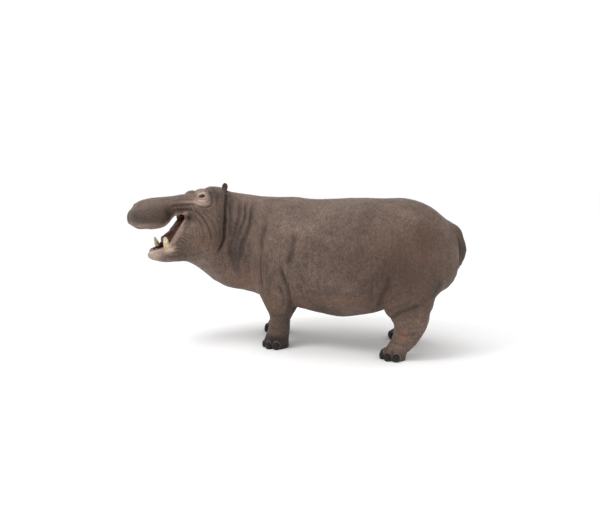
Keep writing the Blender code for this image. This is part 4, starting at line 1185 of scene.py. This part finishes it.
# %% Where it is dark, and where shade is painted
# dark hide behind the eyes and by the ears; painted shade behind the muzzle's bulb and in the corners of the mouth;
# on the muzzle both
DARK_AND_SHADE_ON_HEAD = (
    (0.95, 0.18, 0.352, 1.265, 0.12, 0.070, 0.085), (0.45, 0.18, 0.470, 1.345, 0.10, 0.110, 0.022),
    (0.78, 0.12, 0.19, 1.25, 0.3, 0.24, 0.100), (0.30, 0.00, 0.30, 1.43, 0.25, 0.30, 0.050),     # muzzle
    (0.95, 0.150, 0.558, 1.226, 0.06, 0.030, 0.034), (0.80, 0.140, 0.535, 1.240, 0.05, 0.028, 0.020),
    (0.80, 0.16, 0.800, 1.460, 0.14, 0.075, 0.100), (0.55, *EAR, 0.06, 0.05, 0.07))              # by the ear
# painted shade on the lower jowl, on the rump and buttock, which turn from the lamp, and on the tail
SHADE_ON_BODY = (
    (0.30, 0.25, -0.98, 1.08, 0.2, 0.12, 0.16), (0.62, 0.45, 1.05, 0.82, 0.4, 0.32, 0.36),
    (0.62, 0.40, 1.20, 1.02, 0.3, 0.16, 0.18), (0.55, 0.0, 1.53, 0.93, 0.06, 0.10, 0.30),
    (0.45, 0.42, 1.30, 0.72, 0.3, 0.18, 0.30))
# painted shade along the deep fold behind the jowl
SHADE_BEHIND_JOWL = ((0, 0.870, 1.42), (0, 0.840, 1.28), (0, 0.815, 1.10), (0, 0.77, 0.97))

front_half = STRAIGHT[:, 1] < 0.5
# one mask for the dark hide and the painted shade
dark = np.maximum.reduce([
    strongest(DARK_AND_SHADE_ON_HEAD, NOSE_Y), strongest(SHADE_ON_BODY), tail_edge,
    0.60 * near_path(place(0.28, 0, 0) + between(SHADE_BEHIND_JOWL, 6), 0.060),
    step(HEIGHT, 0.20, 0.10) * front_half, 0.50 * step(HEIGHT, 0.55, 0.25) * front_half,
    0.55 * step(HEIGHT, 0.15, 0.03)])
print("dark on", round(100 * float((dark > 0.3).mean()), 1), "% of the points")

# %% [markdown]
# The red of the mouth covers the wall of its hollow, and stops at the lips. With the painted shade of the folds and
# the cuticles of the nails, that makes six masks.

# %% Keeping the masks in the mesh
mouth = (1 - step(mouth_depth(STRAIGHT), 1.03, 1.15)) * step(BACK, 0.13, 0.20)
MASKS = {"mouth": mouth, "pink": pink, "flush": flush, "dark": dark, "hollow": PAINTED_CREASE_SHADE, "cuticle": CUTICLE}


def keep(obj, name, values):
    """Keeps a value, or with three columns a place, for each point of the mesh."""
    values = np.asarray(values, np.float32)
    kind, field = ("FLOAT_VECTOR", "vector") if values.ndim == 2 else ("FLOAT", "value")
    obj.data.attributes.new(name, kind, "POINT").data.foreach_set(field, values.ravel())


for name, values in MASKS.items():
    keep(skin, name, np.clip(values, 0, 1))
    print(name, "covers", round(100 * float((values > 0.3).mean()), 1), "% of the points")
keep(skin, "straight", STRAIGHT)

# %% [markdown]
# ## Bent and standing
# Each piece of the straight body is bent with the neck and put where the imported model stands. The skin is also
# cut level with the floor, which gives each foot its flat sole. It stands for all the solids of flesh.

# %% Bend, cut and stand
def stood(obj, body_slot, *nodes):
    """Bends a piece of the straight body with the neck, stands it where the imported model stands, shades it smooth,
    fixes it to the one body and hides the solids it stands for.
    """
    put_points(obj, bend(points_of(obj)) + MOVE)
    return handed_in(obj, body_slot, *nodes)


def handed_in(obj, body_slot, *nodes):
    """Shades a piece smooth, fixes it to the one body and hides the solids it stands for."""
    obj.data.polygons.foreach_set("use_smooth", [True] * len(obj.data.polygons))
    obj.data.update()
    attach(obj, "root")
    if nodes:
        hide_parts(*nodes)
    return obj


put_points(skin, bend(points_of(skin)))
with edited(skin) as made:
    bmesh.ops.triangulate(made, faces=sliced(made, (0, 0, 0), (0, 0, 1), clear_inner=True))
put_points(skin, points_of(skin) + MOVE)
OWN_PIECES = ("eye", "tusk", "incisor", "canine", "tongue", "nail")
SKIN_NODES = [name for name in frame["nodes"] if not any(word in name for word in OWN_PIECES)]
handed_in(skin, "hide", *SKIN_NODES)
print("the skin stands for", len(SKIN_NODES), "nodes:", ", ".join(SKIN_NODES))

# %% [markdown]
# ## Eyes
# Only a small almond of each eyeball shows, but it is a whole ball, as deep in the head as a real one. The
# front bulges where the cornea is. The iris is brown and its pupil a level slit. Each point keeps its angle from
# the middle of the pupil and its place across the slit, which is all that the material needs to colour it.

# %% Eyeballs
CORNEA_BULGE, CORNEA_REACH, PUPIL_WIDENED = 0.0016, 0.42, 1.7
for side, word in ((1, "left"), (-1, "right")):
    placed = eye_frame(side)
    made = bmesh.new()
    bmesh.ops.create_uvsphere(made, u_segments=64, v_segments=48, radius=EYE_RADIUS)
    ball = mesh_object("eyeball_" + word, made)
    ways = points_of(ball) / EYE_RADIUS
    off = np.arccos(np.clip(ways[:, 2], -1, 1))
    slit = np.hypot(ways[:, 0] / PUPIL_WIDENED, ways[:, 1])
    put_points(ball, through(placed, ways * (EYE_RADIUS + CORNEA_BULGE * np.exp(-(off / CORNEA_REACH)**2))[:, None]))
    keep(ball, "off", off)
    keep(ball, "slit", np.where(ways[:, 2] > 0, slit, 2))
    stood(ball, "eye", "eye_" + word)
print("two eyeballs", round(2000 * EYE_RADIUS), "mm across")

# %% [markdown]
# ## Teeth
# The tusks in the lower jaw grow all through life and grind against the upper ones, so that they end in a
# slanting worn face. Each tooth is a loft round a bowed line with fine ridges along it; a plane cuts the face.

# %% Tusks, canines and incisors
TUSK = ((0.138, 0.347, 0.890), (0.181, 0.313, 1.068), 0.033, 0.019)
TEETH = {
    "tusk": TUSK, "upper_canine": ((0.118, 0.265, 1.240), (0.122, 0.248, 1.158), 0.018, 0.014),
    "lower_incisor_1": ((0.035, 0.330, 0.890), (0.038, 0.285, 0.958), 0.014, 0.010),
    "lower_incisor_2": ((0.090, 0.335, 0.895), (0.094, 0.295, 0.960), 0.012, 0.009),
    "upper_incisor_1": ((0.032, 0.180, 1.235), (0.034, 0.160, 1.168), 0.013, 0.010),
    "upper_incisor_2": ((0.085, 0.190, 1.235), (0.088, 0.174, 1.170), 0.013, 0.010)}
TOOTH_BEND, RIDGES, RIDGE_DEPTH = 0.02, 17, 0.018
TIP_SHARE, WORN_SHARE = 0.16, 0.10          # of its length: the rounded end, and the end that is ground away
WORN_LOWER, WORN_UPPER = (-0.35, 0.75, 0.55), (0.15, -0.75, -0.65)     # which way a worn face looks


def tooth(name, side, root, tip, root_radius, tip_radius, ring=68, steps=56):
    """A ridged and bowed cone with a worn face, which remembers what is worn and how far along it each point is."""
    start, end = Vector(place(*root, side)), Vector(place(*tip, side))
    way = end - start
    across = way.cross(Vector((0, 1, 0.2))).normalized()
    ahead = across.cross(way).normalized()
    turns = np.arange(ring) * math.tau / ring
    rings, shares = [], 1 - np.linspace(1, 0, steps)**1.6
    for share in shares:
        radius = root_radius + (tip_radius - root_radius) * share**1.5
        radius *= math.sqrt(max(1 - max(share - 1 + TIP_SHARE, 0)**2 / TIP_SHARE**2, 0.0009))
        ridged = radius * (1 - RIDGE_DEPTH * abs(np.sin(RIDGES * turns / 2)) * (1 - share**3))
        middle = start + way * float(share) - ahead * (TOOTH_BEND * way.length * math.sin(math.pi * share))
        rings.append(np.array(middle) + np.outer(ridged * np.cos(turns), across)
                     + np.outer(ridged * np.sin(turns), ahead))
    made_tooth = loft(name, rings)
    out, *rest = WORN_LOWER if root[2] < tip[2] else WORN_UPPER
    with edited(made_tooth) as made:
        worn = sliced(made, end - way * WORN_SHARE, Vector((out * side, *rest)), clear_outer=True)
        worn = bmesh.ops.triangulate(made, faces=worn)["faces"]
        worn_points = {vert for face in worn for vert in face.verts}
        layer = made.verts.layers.float.new("worn")
        along = made.verts.layers.float.new("along")
        for vert in made.verts:
            vert[layer] = 1.0 if vert in worn_points else 0.0
            vert[along] = (vert.co - start).dot(way) / way.length_squared
        edge_of_face = [edge for edge in made.edges if len({face in worn for face in edge.link_faces}) == 2]
        bmesh.ops.split_edges(made, edges=edge_of_face)
    return made_tooth


teeth = []
for kind, sizes in TEETH.items():
    for side, word in ((1, "left"), (-1, "right")):
        name = kind[:-2] + "_" + word + kind[-2:] if kind[-1].isdigit() else kind + "_" + word
        teeth.append(stood(tooth("ivory_" + name, side, *sizes), "ivory", name))
print(len(teeth), "teeth, the tusks", round(1000 * math.dist(*TUSK[:2])), "mm long")

# %% [markdown]
# ## Tongue
# The tongue is thick and lies in the floor of the mouth. It has a groove along its middle, small dents along
# its edges and a rough back.

# %% The tongue
TONGUE = ((0.345, 1.000, 1.076, 0.065, 0.50, 2.3), (0.40, 0.955, 1.112, 0.095, 0.55, 2.4),
          (0.47, 0.975, 1.182, 0.105, 0.55, 2.4), (0.60, 1.090, 1.235, 0.095, 0.55, 2.3))
TONGUE_GROOVE, TONGUE_SCALLOPS, TONGUE_LUMPS = 0.009, 0.0014, 0.002
tongue = lengthwise("tongue_flesh", TONGUE, 0.025, 0.03, NOSE_Y, ring=96, steps=26)
points, outward = points_of(tongue), normals_of(tongue)
on_top = np.clip(outward[:, 2], 0, 1)
groove = TONGUE_GROOVE * on_top * np.exp(-(points[:, 0] / 0.012)**2)
scallops = TONGUE_SCALLOPS * np.exp(-((outward[:, 2] - 0.3) / 0.3)**2) * (0.5 + 0.5 * waviness(points, 0.04, 31))
dent = groove + scallops - TONGUE_LUMPS * on_top * waviness(points, 0.05, 32)
put_points(tongue, points - outward * dent[:, None])
keep(tongue, "straight", points)
stood(tongue, "mouth", "tongue")
print("tongue", len(tongue.data.vertices), "points")

# %% [markdown]
# ## Toenails
# Each foot has four toes, and each toe a broad black nail like a small hoof, which grows out of a fold of hide
# and is worn flat below. Ridges run round it, as on a fingernail that grew in fits.

# %% Nails
NAIL_SOLE = 0.0005                          # how far above the floor a nail ends
NAIL_RINGS, NAIL_LINES = 0.010, 0.006       # how high the ridges are, as a share of the nail
nails = []
for name, *_ in LEGS:
    group = []
    for toe_foot, number, placed in toe_places():
        if toe_foot != name:
            continue
        made = bmesh.new()
        bmesh.ops.create_uvsphere(made, u_segments=56, v_segments=40, radius=1)
        nail = mesh_object("nail", made)
        ways = points_of(nail)
        ridge = 1 + NAIL_RINGS * np.sin(ways[:, 2] * 26 + 1.5 * np.sin(ways[:, 0] * 3 + number))
        ridge = ridge + NAIL_LINES * np.sin(np.arctan2(ways[:, 0], -ways[:, 1]) * 30)
        nail_placed = placed @ Matrix.Translation((0, -NAIL_AHEAD, 0))
        put_points(nail, through(nail_placed, ways * (0.988 * ridge)[:, None] * NAIL_RADII))
        group.append(nail)
    nail = joined("nails_" + name, group)
    with edited(nail) as made:
        sliced(made, (0, 0, NAIL_SOLE), (0, 0, 1), clear_inner=True)
    put_points(nail, points_of(nail) + MOVE)
    nails.append(handed_in(nail, "horn", *[f"{name}_nail_{number}" for number in (1, 2, 3, 4)]))
print(len(nails), "feet with four nails each")

# %% [markdown]
# ## Bristles
# A hippopotamus looks bare, but stiff hairs stand on its muzzle and chin, round its ears and at the end of its
# tail. Each is a thin curved cone. All of them are one mesh, made by one loop over places picked from the skin.
# Every hair also gets its own tiny patch in a map laid round the body, at its root's place.

# %% Hairs
HAIR_RULES = (  # how many, length, radius, how far apart, then the mask that says where
    (150, 0.013, 0.0007, 0.014, patch(0.10, NOSE_Y + 0.06, 1.26, 0.12, 0.10, 0.07)),
    (70, 0.010, 0.0007, 0.014, patch(0.07, NOSE_Y + 0.25, 0.88, 0.12, 0.06, 0.04)),
    (110, 0.009, 0.0006, 0.004, patch(EAR[0], NOSE_Y + EAR[1], EAR[2] + 0.025, 0.05, 0.04, 0.035)),
    (40, 0.022, 0.0010, 0.004, patch(0.0, 1.50, 0.78, 0.05, 0.06, 0.06) * (OUT > 0.012)))
HAIR_SIDES, HAIR_STEPS, MAP_PATCH = 3, 4, 0.003


def hairs(name, places, ways, rules):
    """Curved cones rooted in places picked at random, no two nearer than their rule allows."""
    draw = np.random.default_rng(5)
    made = bmesh.new()
    layer = made.loops.layers.uv.new("OFBake")
    for many, length, radius, apart, mask in rules:
        likely = np.where((mask > 0.25) & (MASKS["mouth"] < 0.1))[0]
        kept = []
        for i in draw.permutation(likely):
            if len(kept) == many:
                break
            if not kept or np.linalg.norm(places[kept] - places[i], axis=1).min() > apart:
                kept.append(i)
        for i in kept:
            out = ways[i]
            side = np.cross(out, (0.3, 0.2, 1))
            side /= np.linalg.norm(side)
            over, droop = np.cross(side, out), np.array([0, 0.25, -0.55]) + 0.25 * draw.normal(size=3)
            long = length * draw.uniform(0.6, 1.15)
            loops = []
            for n in range(HAIR_STEPS):
                share = n / HAIR_STEPS
                middle = places[i] + long * (out * (share - 0.12) + droop * share**2)
                turns = np.arange(HAIR_SIDES) * math.tau / HAIR_SIDES
                thin = radius * (1 - share)
                loops.append([made.verts.new(middle + thin * (side * math.cos(a) + over * math.sin(a)))
                              for a in turns])
            tip = made.verts.new(places[i] + long * (out * 0.88 + droop))
            faces = [made.faces.new(loops[0][::-1])]
            for one, other in zip(loops, loops[1:]):
                faces += [made.faces.new((one[k], one[(k + 1) % HAIR_SIDES], other[(k + 1) % HAIR_SIDES], other[k]))
                          for k in range(HAIR_SIDES)]
            faces += [made.faces.new((loops[-1][k], loops[-1][(k + 1) % HAIR_SIDES], tip)) for k in range(HAIR_SIDES)]
            corner = (0.5 + math.atan2(places[i][0], places[i][2] - 1.1) / (math.tau * 1.01),
                      (places[i][1] - NOSE_Y) / 3.4)
            for face in faces:
                for k, loop in enumerate(face.loops):
                    loop[layer].uv = (corner[0] + MAP_PATCH * (k in (1, 2)), corner[1] + MAP_PATCH * (k in (2, 3)))
        print(name, len(kept), "hairs of about", round(1000 * length), "mm")
    bmesh.ops.recalc_face_normals(made, faces=made.faces)
    return mesh_object(name, made)


bristles = hairs("bristles", STRAIGHT, WAYS, HAIR_RULES)
stood(bristles, "hide")

# %% [markdown]
# ## Finishes
# Every finish is a small network of nodes. `Finish` keeps the writing short: each call adds one node and gives
# back its result, which the next call takes. Colour, roughness and bump come from noise drawn in the straight
# body's coordinates and from the masks kept in the mesh.

# %% A helper for finishes
class Finish:
    """A material in the making: each method adds a node and gives its result."""

    def __init__(self, name, **values):
        self.material = bpy.data.materials.new(name)
        self.material.use_nodes = True
        self.nodes, self.links = self.material.node_tree.nodes, self.material.node_tree.links
        self.shader = self.nodes["Principled BSDF"]
        for socket, value in values.items():
            self.shader.inputs[socket.replace("_", " ")].default_value = value

    def node(self, kind, output, inputs, **settings):
        made = self.nodes.new(kind)
        for key, value in settings.items():
            setattr(made, key, value)
        for socket, value in inputs.items():
            if isinstance(value, bpy.types.NodeSocket):
                self.links.new(value, made.inputs[socket])
            else:
                made.inputs[socket].default_value = value
        return made.outputs[output]

    def kept(self, name, field="Fac"):
        return self.node("ShaderNodeAttribute", field, {}, attribute_name=name)

    def own_place(self):
        return self.node("ShaderNodeTexCoord", "Object", {})

    def maths(self, how, one, other):
        return self.node("ShaderNodeMath", 0, {0: one, 1: other}, operation=how)

    def times(self, one, other):
        return self.maths("MULTIPLY", one, other)

    def plus(self, one, other):
        return self.maths("ADD", one, other)

    def rest_of(self, share):
        return self.maths("SUBTRACT", 1.0, share)

    def stretched(self, where, by):
        return self.node("ShaderNodeVectorMath", 0, {0: where, 1: by}, operation="MULTIPLY")

    def noise(self, where, scale, detail=3.0, roughness=0.55):
        inputs = {"Vector": where, "Scale": scale, "Detail": detail, "Roughness": roughness}
        return self.node("ShaderNodeTexNoise", "Fac", inputs)

    def cracks(self, where, scale, wide):
        """0 along the edges of irregular cells, 1 inside them."""
        found = self.node("ShaderNodeTexVoronoi", "Distance", {"Vector": where, "Scale": scale},
                          feature="DISTANCE_TO_EDGE")
        return self.spread(found, 0.0, wide)

    def spread(self, value, low, high, start=0.0, end=1.0):
        """A value between low and high, softly brought to between start and end."""
        inputs = {"Value": value, "From Min": low, "From Max": high, "To Min": start, "To Max": end}
        return self.node("ShaderNodeMapRange", 0, inputs, interpolation_type="SMOOTHSTEP")

    def mixed(self, share, one, other):
        """One colour, and by a share the other over it."""
        made = self.nodes.new("ShaderNodeMix")
        made.data_type = "RGBA"
        for socket, value in ((made.inputs[0], share), (made.inputs[6], one), (made.inputs[7], other)):
            if isinstance(value, bpy.types.NodeSocket):
                self.links.new(value, socket)
            else:
                socket.default_value = (*value, 1) if isinstance(value, tuple) else value
        return made.outputs[2]

    def ramp(self, value, *stops):
        made = self.nodes.new("ShaderNodeValToRGB")
        elements = made.color_ramp.elements
        while len(elements) < len(stops):
            elements.new(1.0)
        for element, (at, colour) in zip(elements, stops):
            element.position, element.color = at, (*colour, 1)
        self.links.new(value, made.inputs[0])
        return made.outputs[0]

    def bump(self, height, distance):
        return self.node("ShaderNodeBump", 0, {"Height": height, "Distance": distance, "Strength": 1.0})

    def into(self, **sockets):
        for socket, value in sockets.items():
            self.links.new(value, self.shader.inputs[socket.replace("_", " ")])

    def on(self, *objects):
        for obj in objects:
            obj.data.materials.clear()
            obj.data.materials.append(self.material)
        print("finish", self.material.name, "of", len(self.nodes), "nodes on", len(objects), "pieces")


# %% [markdown]
# ## Hide
# The hide is a warm grey-brown that clouds over at four scales, from patches as long as an arm to specks. A
# painted picture would have to be wrapped round the animal, with seams. Noise fills space and has none, so one
# noise for each scale is added up and goes through a ramp of three browns. The back is a little paler: painted
# light from above.

# %% Tone of the hide
PALE_HIDE, MID_HIDE, DEEP_HIDE = (0.203, 0.136, 0.105), (0.118, 0.077, 0.058), (0.045, 0.028, 0.020)
# the darkest brown is the hide's dark colour and also painted shade; the flushed one is also painted warm shade
PINK_HIDE, FLUSH_AND_WARM_SHADE_HIDE, DARK_AND_SHADE_HIDE = (0.660, 0.470, 0.375), (0.215, 0.092, 0.050), (0.017, 0.011, 0.009)
MOUTH_RED, MOUTH_DEEP = (0.120, 0.034, 0.028), (0.030, 0.010, 0.009)
CUTICLE_PALE = (0.190, 0.140, 0.110)
CLOUDS = (  # scale, detail and share of each noise
    (2.3, 4.0, 0.30), (11.0, 4.0, 0.18), (33.0, 4.0, 0.20), (95.0, 3.0, 0.32))

hide = Finish("hide", Roughness=0.55, Specular_IOR_Level=0.3)
where = hide.kept("straight", "Vector")
tone = 0.0
for scale, detail, share in CLOUDS:
    tone = hide.plus(tone, hide.times(hide.noise(where, scale, detail, 0.65), share))
colour = hide.ramp(tone, (0.39, DEEP_HIDE), (0.50, MID_HIDE), (0.61, PALE_HIDE))
high = hide.node("ShaderNodeSeparateXYZ", "Z", {"Vector": where})
# painted light: the hide is paler towards the top of the back, where the lamps shine from above
colour = hide.mixed(hide.spread(high, 1.20, 1.45, 0.0, 0.10), colour, PALE_HIDE)
print("hide of", len(CLOUDS), "sizes of clouds")

# %% [markdown]
# Everywhere the hide is crazed like old leather, into small plates, and its wrinkles run up and down the flanks
# and round the legs. The cracks come from irregular cells, and the wrinkles from noise that is stretched one
# way. A little swirl keeps both from looking ruled. The colour is darkened along the cracks and in the valleys
# of the wrinkles, as painted shade.

# %% Cracks and wrinkles
swirl = hide.stretched(hide.node("ShaderNodeTexNoise", "Color", {"Vector": where, "Scale": 9.0}), (0.05, 0.05, 0.05))
warped = hide.node("ShaderNodeVectorMath", 0, {0: where, 1: swirl}, operation="ADD")
plates = hide.cracks(hide.stretched(warped, (1.0, 1.0, 0.62)), 38.0, 0.16)
fine_plates = hide.cracks(warped, 110.0, 0.22)
on_legs = hide.spread(high, 0.62, 0.42)
flank_wrinkles = hide.noise(hide.stretched(warped, (20.0, 62.0, 9.0)), 1.0, 3.0)
leg_wrinkles = hide.noise(hide.stretched(warped, (14.0, 14.0, 85.0)), 1.0, 3.0)
wrinkles = hide.plus(hide.times(flank_wrinkles, hide.rest_of(on_legs)), hide.times(leg_wrinkles, on_legs))
# painted shade: the hide is darker in the valleys of the wrinkles and along the cracks between the plates
colour = hide.mixed(hide.spread(wrinkles, 0.50, 0.30, 0.0, 0.35), colour, DEEP_HIDE)
colour = hide.mixed(hide.times(hide.rest_of(plates), 0.28), colour, DEEP_HIDE)

# %% [markdown]
# Over this go the masks: flushed places, partly painted warm shade, pink places, dark places, partly painted
# shade, the pale cuticles, the red lining of the mouth and the painted shade in the bottoms of the folds.
# Blotches of noise break up the edges of the first three.

# %% Coloured places
mottled = hide.spread(hide.noise(where, 34.0, 4.0, 0.6), 0.35, 0.62)
# flush, and painted warm shade where light bounces into shaded places
flushed_and_warm_shade = hide.times(hide.kept("flush"), hide.spread(mottled, 0.0, 1.0, 0.45, 1.0))
colour = hide.mixed(flushed_and_warm_shade, colour, FLUSH_AND_WARM_SHADE_HIDE)
pinked = hide.times(hide.kept("pink"), hide.spread(mottled, 0.0, 1.0, 0.82, 1.0))
colour = hide.mixed(pinked, colour, PINK_HIDE)
blotches = hide.spread(hide.noise(where, 11.0, 4.0), 0.35, 0.6, 0.8, 1.0)
# dark hide, and painted shade on the rump, the tail, the jowl and the corners of the mouth
colour = hide.mixed(hide.times(hide.kept("dark"), blotches), colour, DARK_AND_SHADE_HIDE)
colour = hide.mixed(hide.kept("cuticle"), colour, CUTICLE_PALE)
inside = hide.kept("mouth")
lining = hide.mixed(hide.spread(hide.noise(where, 16.0, 4.0), 0.3, 0.65), MOUTH_DEEP, MOUTH_RED)
colour = hide.mixed(inside, colour, lining)
# painted shade in the bottoms of the folds and wrinkles, between the toes and beside the tail
colour = hide.mixed(hide.times(hide.kept("hollow"), 0.62), colour, DARK_AND_SHADE_HIDE)

# %% [markdown]
# The same cracks and wrinkles raise and lower the surface as a fine bump, weaker where the hide is thin and
# pink. As real geometry they would need many times the faces. The lining of the mouth is wet, so it is glossier.

# %% Grain and gloss of the hide
HIDE_BUMP = 0.0022                          # how high the bump is, in metres
height = hide.plus(hide.times(plates, 0.40), hide.times(fine_plates, 0.16))
height = hide.plus(height, hide.times(wrinkles, 1.1))
height = hide.plus(height, hide.times(hide.noise(where, 190.0, 3.0), 0.30))
height = hide.times(height, hide.spread(hide.maths("MAXIMUM", inside, pinked), 0.1, 0.9, 1.0, 0.40))
gloss = hide.spread(hide.noise(where, 26.0, 3.0), 0.3, 0.7, 0.50, 0.66)
gloss = hide.times(gloss, hide.spread(inside, 0.0, 1.0, 1.0, 0.42))
hide.into(Base_Color=colour, Roughness=gloss, Normal=hide.bump(height, HIDE_BUMP))
hide.on(skin)

# %% [markdown]
# ## Eyes, ivory, tongue, nails and hairs
# The eye is nearly black and wet. Its colours are rings round the middle of the pupil, dark in the middle and
# at the rim of the iris, with fine streaks, and the white is brownish. A ramp over each point's angle draws
# them sharp from any distance, and a clear coat makes the wet shine.

# %% Finish of the eyes
eye = Finish("eye", Roughness=0.15, Specular_IOR_Level=0.25, Coat_Weight=0.35, Coat_Roughness=0.03)
streaks = eye.times(eye.noise(eye.own_place(), 260.0), 0.10)
rings = eye.ramp(eye.plus(eye.kept("off"), eye.maths("SUBTRACT", streaks, 0.05)),
                 (0.00, (0.012, 0.006, 0.003)), (0.42, (0.026, 0.012, 0.006)), (0.60, (0.006, 0.004, 0.003)),
                 (0.80, (0.060, 0.030, 0.024)), (1.00, (0.130, 0.070, 0.056)))
eye.into(Base_Color=eye.mixed(eye.spread(eye.kept("slit"), 0.13, 0.19, 1.0, 0.0), rings, (0.002, 0.002, 0.002)))
eye.on(*[obj for obj in bpy.data.objects if obj.name.startswith("eyeball_")])

# %% [markdown]
# Ivory is cream coloured, browner towards the gum, with a few stains and a darker worn face. Fine lines run
# along a tusk, so its grain is noise that is drawn out in height. The share of the length that each point kept
# gives the change from gum to tip.

# %% Finish of the ivory
ivory = Finish("ivory", Roughness=0.34)
where = ivory.own_place()
grain = ivory.noise(ivory.stretched(where, (1.0, 1.0, 0.12)), 190.0, 4.0)
colour = ivory.ramp(ivory.kept("along"), (0.00, (0.200, 0.120, 0.050)), (0.30, (0.420, 0.310, 0.150)),
                    (0.55, (0.640, 0.530, 0.310)), (1.00, (0.720, 0.640, 0.440)))
colour = ivory.mixed(ivory.spread(grain, 0.56, 0.36, 0.0, 0.55), colour, (0.250, 0.165, 0.075))
stains = ivory.spread(ivory.noise(where, 34.0, 4.0), 0.48, 0.66, 0.0, 0.50)
colour = ivory.mixed(stains, colour, (0.300, 0.210, 0.100))
colour = ivory.mixed(ivory.times(ivory.kept("worn"), 0.75), colour, (0.140, 0.100, 0.060))
ivory.into(Base_Color=colour, Roughness=ivory.spread(grain, 0.3, 0.7, 0.45, 0.28), Normal=ivory.bump(grain, 0.0008))
ivory.on(*teeth)

# %% [markdown]
# The tongue is red, blotched and damp, and small buds cover it. They are the cells that make the cracks of the
# hide, many times smaller, with painted shade between them.

# %% Finish of the tongue
wet = Finish("mouth", Roughness=0.40, Specular_IOR_Level=0.35)
where = wet.kept("straight", "Vector")
buds = wet.cracks(where, 230.0, 0.30)
blotches = wet.spread(wet.noise(where, 15.0, 4.0), 0.35, 0.62)
colour = wet.mixed(blotches, (0.070, 0.021, 0.018), (0.160, 0.055, 0.046))
# painted shade between the buds
colour = wet.mixed(wet.times(wet.rest_of(buds), 0.35), colour, (0.050, 0.015, 0.012))
wet.into(Base_Color=colour, Roughness=wet.spread(blotches, 0.0, 1.0, 0.34, 0.50), Normal=wet.bump(buds, 0.0006))
wet.on(tongue)

# %% [markdown]
# The nails are black horn with lines across them, because they grow in rings: noise that is squeezed in height
# gives such lines. Near the floor they are rubbed dull and grey.

# %% Finish of the nails
horn = Finish("horn", Roughness=0.55, Specular_IOR_Level=0.2)
where = horn.own_place()
lines = horn.noise(horn.stretched(where, (1.0, 1.0, 5.0)), 60.0, 4.0)
low = horn.spread(horn.node("ShaderNodeSeparateXYZ", "Z", {"Vector": where}), 0.050, 0.004)
colour = horn.mixed(horn.spread(lines, 0.40, 0.70), (0.009, 0.008, 0.008), (0.024, 0.020, 0.018))
rubbed = horn.times(low, horn.spread(horn.noise(where, 45.0, 3.0), 0.45, 0.65))
colour = horn.mixed(rubbed, colour, (0.060, 0.050, 0.042))
horn.into(Base_Color=colour, Roughness=horn.spread(lines, 0.3, 0.7, 0.45, 0.65), Normal=horn.bump(lines, 0.0012))
horn.on(*nails)

# %% [markdown]
# The hairs are dark brown, and some of them are paler. They are so thin that a ramp over noise is enough.

# %% Finish of the hairs
hair = Finish("hair", Roughness=0.45)
where = hair.own_place()
hair.into(Base_Color=hair.ramp(hair.noise(where, 30.0), (0.40, (0.030, 0.021, 0.016)), (0.62, (0.120, 0.085, 0.060))))
hair.on(bristles)
